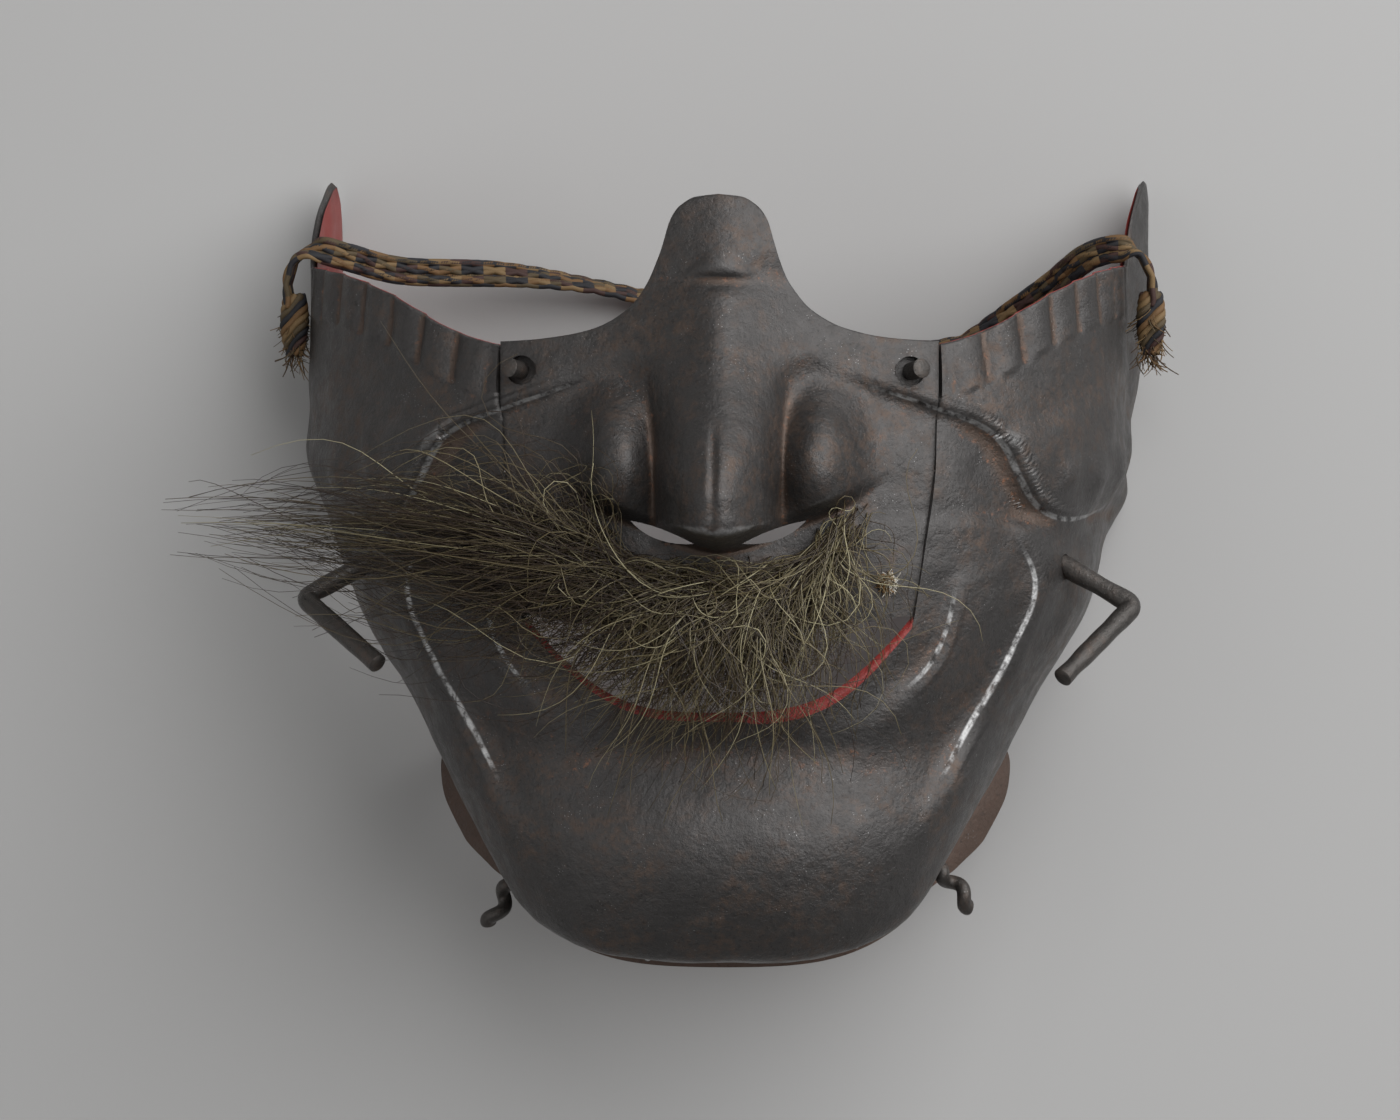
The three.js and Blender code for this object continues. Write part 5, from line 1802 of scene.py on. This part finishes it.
@dataclass
class TieCord:
    """A flat silk braid tied from ear to ear behind the mask."""

    bench: Bench
    half_width: float = 3.0
    strand_wide: float = 0.78
    strand_thick: float = 0.66
    inset: float = 0.8
    over: float = 0.34
    pitch: float = 58.0
    colours: tuple[Silk, ...] = (
        Silk.GOLD, Silk.NIGHT, Silk.MAROON, Silk.STRAW, Silk.NIGHT, Silk.OLIVE, Silk.GOLD, Silk.NIGHT,
        Silk.OLIVE, Silk.MAROON, Silk.STRAW, Silk.NIGHT,
    )
    route: tuple[Vec3, ...] = (
        (-91.4, 53, 24), (-91.6, 59, 24.5), (-89.4, 63.6, 25.5), (-85, 65, 26.5), (-79, 63.6, 24.5),
        (-68, 61.2, 18), (-48, 61, 11), (-33, 59.5, 7), (-20, 57, 4), (-6, 52.5, 2.4),
        (12, 46.5, 2.1), (30, 43.5, 2.1), (46, 45, 3), (58, 50.5, 7.5), (68.5, 57.5, 14),
        (76, 63.4, 21.5), (82.4, 65, 26), (86.8, 63.6, 26.5), (89.2, 59, 26.5), (89.4, 53, 26),
    )

    def path(self, count: int = 420) -> Array:
        """Spaces points evenly along the cord's route.

        Args:
            count: how many.

        Returns:
            The points, one row each.
        """
        fine = flowing(np.array(self.route, float), 24)
        along = np.concatenate([[0], np.cumsum(np.linalg.norm(np.diff(fine, axis=0), axis=1))])
        even = np.linspace(0, along[-1], count)
        return np.stack([np.interp(even, along, fine[:, k]) for k in range(3)], axis=-1)

    def ribbon(self, line: Array) -> tuple[Array, Array]:
        """Turns the flat braid as it runs, clear of the floor.

        Args:
            line: its middle line.

        Returns:
            Unit directions across its width and across its thickness.
        """
        tangent = unit(np.gradient(line, axis=0))
        x = line[:, :1]
        wrap = smoothstep(-82, -89, x) + smoothstep(82, 87, x)
        up = np.array([[0, 0, 1.0]])
        out = np.concatenate([np.sign(x), 0.7 * np.ones_like(x), 0 * x], axis=1)
        face = up * (1 - wrap) + out * wrap
        wide = unit(np.cross(tangent, face))
        thick = np.cross(wide, tangent)
        clearance = np.arcsin(np.clip((line[:, 2:] - 1.2) / self.half_width, 0, 1))
        roll = np.minimum(np.radians(66), clearance) * smoothstep(-62, -26, x) * smoothstep(66, 50, x)
        return wide * np.cos(roll) + thick * np.sin(roll), thick * np.cos(roll) - wide * np.sin(roll)

    def build(self, silk: Material, knots: list[Piece]) -> Piece:
        """Builds and dresses the braid.

        Args:
            silk: its finish.
            knots: not used.

        Returns:
            The finished piece.
        """
        line = self.path()
        length = np.linalg.norm(np.diff(line, axis=0), axis=1).sum()
        along = np.linspace(0, length, len(line))
        wide, thick = self.ribbon(line)
        count = len(self.colours)
        lines = []
        for k in range(count):
            phase = along / self.pitch + k / count
            swing = 1 - 2 * np.abs(2 * (phase % 1) - 1)
            over = np.sin(2 * math.pi * phase * count / 2)
            rank = np.where((phase % 1) < 0.5, 1, -1)
            u = (self.half_width - self.inset) * np.sin(swing * math.pi / 2)
            v = self.over * over * rank
            lines.append(line + wide * u[:, None] + thick * v[:, None])
        across, up = [self.strand_wide * wide] * count, [self.strand_thick * thick] * count
        obj = tubes(self.bench, "tie_cord", lines, 6, across, up, [c.value for c in self.colours])
        path = self.bench.place(line)
        self.bench.finish(obj, "silk", ("cord",), silk)
        return obj


@dataclass
class CordKnot:
    """The cord's end at one ear: wound strands with a frayed tail."""

    bench: Bench
    name: str
    head: Vec3
    turns: float = 0.9
    tall: float = 12.5
    radius: float = 2.2
    wound: int = 9
    frayed: int = 170
    seed: int = 5

    def build(self, silk: Material) -> Piece:
        """Builds and dresses the knot.

        Args:
            silk: its finish.

        Returns:
            The finished piece.
        """
        rng = np.random.default_rng(self.seed)
        top = np.array(self.head)
        lines, shades, sizes = [], [], []
        t = np.linspace(0, 1, 46)
        taper = 0.62 + 0.4 * np.sin(math.pi * np.clip(t * 1.1, 0, 1)) ** 0.7
        for k in range(self.wound):
            turn = 2 * math.pi * (self.turns * t + k / self.wound)
            bumps = 1 + 0.16 * np.sin(2 * math.pi * (2.6 * t + k / 3))
            swell = self.radius * bumps * taper
            place = [swell * np.cos(turn), 5.5 - self.tall * t, swell * np.sin(turn) * 1.15]
            lines.append(top + np.stack(place, axis=-1))
            shades.append(list(Silk)[(k * 2) % 5].value)
            sizes.append(0.95)
        for _ in range(self.frayed):
            place = [rng.normal(0, 1.2), 5 - self.tall * rng.uniform(0.1, 1.05), rng.normal(0, 1.3)]
            way = np.array([rng.normal(0, 0.35), -1.0, rng.normal(0, 0.35)])
            bend = rng.normal(0, 1.0, 3) * [1, 0.3, 0.6]
            reach = rng.uniform(1.2, 4)
            step = t[::5, None]
            line = top + place + way * reach * step + bend * step**2 * 1.6
            line[:, 2] = np.maximum(line[:, 2], 0.4)
            lines.append(line)
            shades.append(float(rng.choice([0.2, 0.35, 0.5, 0.6, 1.0])))
            sizes.append(rng.uniform(0.1, 0.2))
        across, up = [], []
        for line, size in zip(lines, sizes):
            side, over = self.bench.frames(line)
            fade = np.linspace(1, 0.6, len(line))[:, None] * size
            across.append(side * fade)
            up.append(over * fade)
        obj = tubes(self.bench, f"tie_knot_{self.name}", lines, 5, across, up, shades)
        self.bench.finish(obj, "silk", (f"cord_knot_{self.name}",), silk)
        return obj


@dataclass
class HairPlug:
    """The pale tuft left in a hole beside the mouth."""

    bench: Bench
    plate: NosePlate
    place: tuple[float, float] = (32.8, -4.4)
    count: int = 260
    radius: float = 1.75
    hole: float = 1.95
    sunk: float = 2.0

    def build(self, hair: Material) -> Piece:
        """Builds and dresses the plug.

        Args:
            hair: its finish.

        Returns:
            The finished piece.
        """
        rng = np.random.default_rng(8)
        spin = rng.uniform(0, 2 * math.pi, self.count)
        out = self.radius * np.sqrt(rng.random(self.count))
        x = self.place[0] + out * np.cos(spin)
        y = self.place[1] + out * np.sin(spin)
        z0 = float(self.plate.height(np.array([self.place[0]]), np.array([self.place[1]]))[0])
        t = np.linspace(0, 1, 6)
        tall = rng.uniform(1.2, 3.2, self.count) * (1 - 0.5 * (out / self.radius) ** 2)
        lean = rng.normal(0, 0.7, (self.count, 2))
        lines = np.stack([
            x[:, None] + lean[:, :1] * t**2, y[:, None] + lean[:, 1:] * t**2,
            z0 - self.sunk + (self.sunk + tall[:, None]) * t,
        ], axis=-1)
        shade = 0.55 + 0.4 * (x - self.place[0]) / self.radius + rng.normal(0, 0.15, self.count)
        shade = np.clip(shade, 0, 1)
        maker = HairMaker(self.bench, 9)
        obj = maker.strands("hair_plug", lines, np.full(self.count, 0.2), shade)
        self.bench.finish(obj, "plug", ("hair_plug_right",), hair)
        return obj


# ------------------------------------------------------------------ floor, light, camera
@dataclass
class Studio:
    """Pale floor, soft light and the viewing camera."""

    bench: Bench
    floor_tone: Colour = (0.42252, 0.42, 0.41748, 1)
    air: Colour = (1, 0.99, 0.98, 1)
    air_strength: float = 0.17
    lens: float = 100
    eye: Vec3 = (14.4, 0, 840.0)
    eye_tilt: float = 1.364

    def build(self) -> None:
        """Adds the floor, the lights and the camera."""
        self.floor()
        self.light("key", (0.7, 0.56, 0.84), 1.6, 24.5)
        self.light("fill", (-0.85, -0.1, 0.95), 1.3, 3.6)
        world = bpy.data.worlds.new("studio")
        bpy.context.scene.world = world
        world.use_nodes = True
        background = world.node_tree.nodes["Background"]
        background.inputs[0].default_value = self.air
        background.inputs[1].default_value = self.air_strength
        self.camera()

    def floor(self) -> None:
        """Adds the floor."""
        self.bench.deselect()
        bpy.ops.mesh.primitive_plane_add(size=4, location=(0, 0, 0))
        floor = bpy.context.object
        floor.name = "floor"
        s = Shader("floor_card")
        s.set("Base Color", self.floor_tone)
        s.set("Roughness", 0.85)
        floor.data.materials.append(s.material)

    def light(self, name: str, place: Vec3, size: float, power: float) -> None:
        """Adds a soft square light aimed at the mask.

        Args:
            name: its name.
            place: where it stands, in metres.
            size: its side, in metres.
            power: in watts.
        """
        data = bpy.data.lights.new(name, "AREA")
        data.size = size
        data.energy = power
        obj = bpy.data.objects.new(name, data)
        obj.location = place
        aim = Vector((0.0, 0.0, 0.05)) - Vector(place)
        obj.rotation_mode = "QUATERNION"
        obj.rotation_quaternion = aim.to_track_quat("-Z", "Y")
        bpy.context.scene.collection.objects.link(obj)

    def camera(self) -> None:
        """Adds the camera, straight above and a little to the right."""
        data = bpy.data.cameras.new("camera")
        data.lens = self.lens
        data.sensor_width = 36
        camera = bpy.data.objects.new("camera", data)
        camera.location = self.bench.place(np.array(self.eye))
        camera.rotation_euler = (0, math.radians(self.eye_tilt), 0)
        bpy.context.scene.collection.objects.link(camera)
        bpy.context.scene.camera = camera


# ------------------------------------------------------------------ the whole mask
def corners(box: tuple) -> list[list[float]]:
    """Returns a box as plain lists."""
    return [[float(v) for v in corner] for corner in box]


def main() -> None:
    """Loads the frame and builds, dresses and reports every piece."""
    logging.basicConfig(level=logging.INFO, format="%(name)s: %(message)s")
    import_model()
    bpy.context.scene.view_settings.view_transform = "Standard"
    bench = Bench()
    form = Form()
    relief = CheekRelief(form)
    nose = NoseRelief()
    Studio(bench).build()

    iron = IronFinish("forged_iron").build()
    rod_iron = IronFinish("rod_iron", dark=(0.065, 0.06, 0.056, 1), rough=0.36).build()
    russet = IronFinish(
        "russet_iron", dark=(0.085, 0.055, 0.042, 1), brown=(0.10, 0.06, 0.045, 1), metallic=0.35,
        rough=0.5,
    ).build()
    lacquer = LacquerFinish("red_lacquer").build()
    hair = FibreFinish("bristle", (
        (0.0, (0.018, 0.009, 0.006, 1)), (0.4, (0.042, 0.027, 0.015, 1)), (0.75, (0.15, 0.12, 0.06, 1)),
        (1.0, (0.4, 0.36, 0.22, 1)),
    ), rough=0.36).build()
    silk = FibreFinish("braided_silk", (
        (Silk.NIGHT.value, (0.010, 0.010, 0.013, 1)), (Silk.GOLD.value, (0.13, 0.068, 0.024, 1)),
        (Silk.OLIVE.value, (0.07, 0.048, 0.022, 1)), (Silk.MAROON.value, (0.04, 0.016, 0.012, 1)),
        (Silk.STRAW.value, (0.16, 0.1, 0.042, 1)),
    ), rough=0.75).build()
    pale = FibreFinish("pale_bristle", (
        (0.0, (0.22, 0.11, 0.035, 1)), (0.45, (0.34, 0.2, 0.08, 1)), (0.65, (0.7, 0.66, 0.56, 1)),
        (1.0, (0.85, 0.83, 0.78, 1)),
    ), rough=0.6).build()

    knots = [
        CordKnot(bench, "left", (-90.2, 50, 24)).build(silk),
        CordKnot(bench, "right", (89.2, 50, 26), seed=6).build(silk),
    ]
    TieCord(bench).build(silk, knots)
    FaceShell(bench, form, relief).build(iron, lacquer)
    plate = NosePlate(bench, form, relief, nose)
    plate.build(iron, lacquer)
    ThroatCollar(bench, form).build(russet)
    for hook in CheekHook.both():
        hook.build(bench, form, rod_iron)
    for peg in ChinPeg.both():
        peg.build(bench, form, rod_iron)
    for stud in NoseStud.both():
        stud.build(bench, plate, rod_iron)
    Moustache(bench, form, plate).build(hair)
    HairPlug(bench, plate).build(pale)


if __name__ == "__main__":
    main()
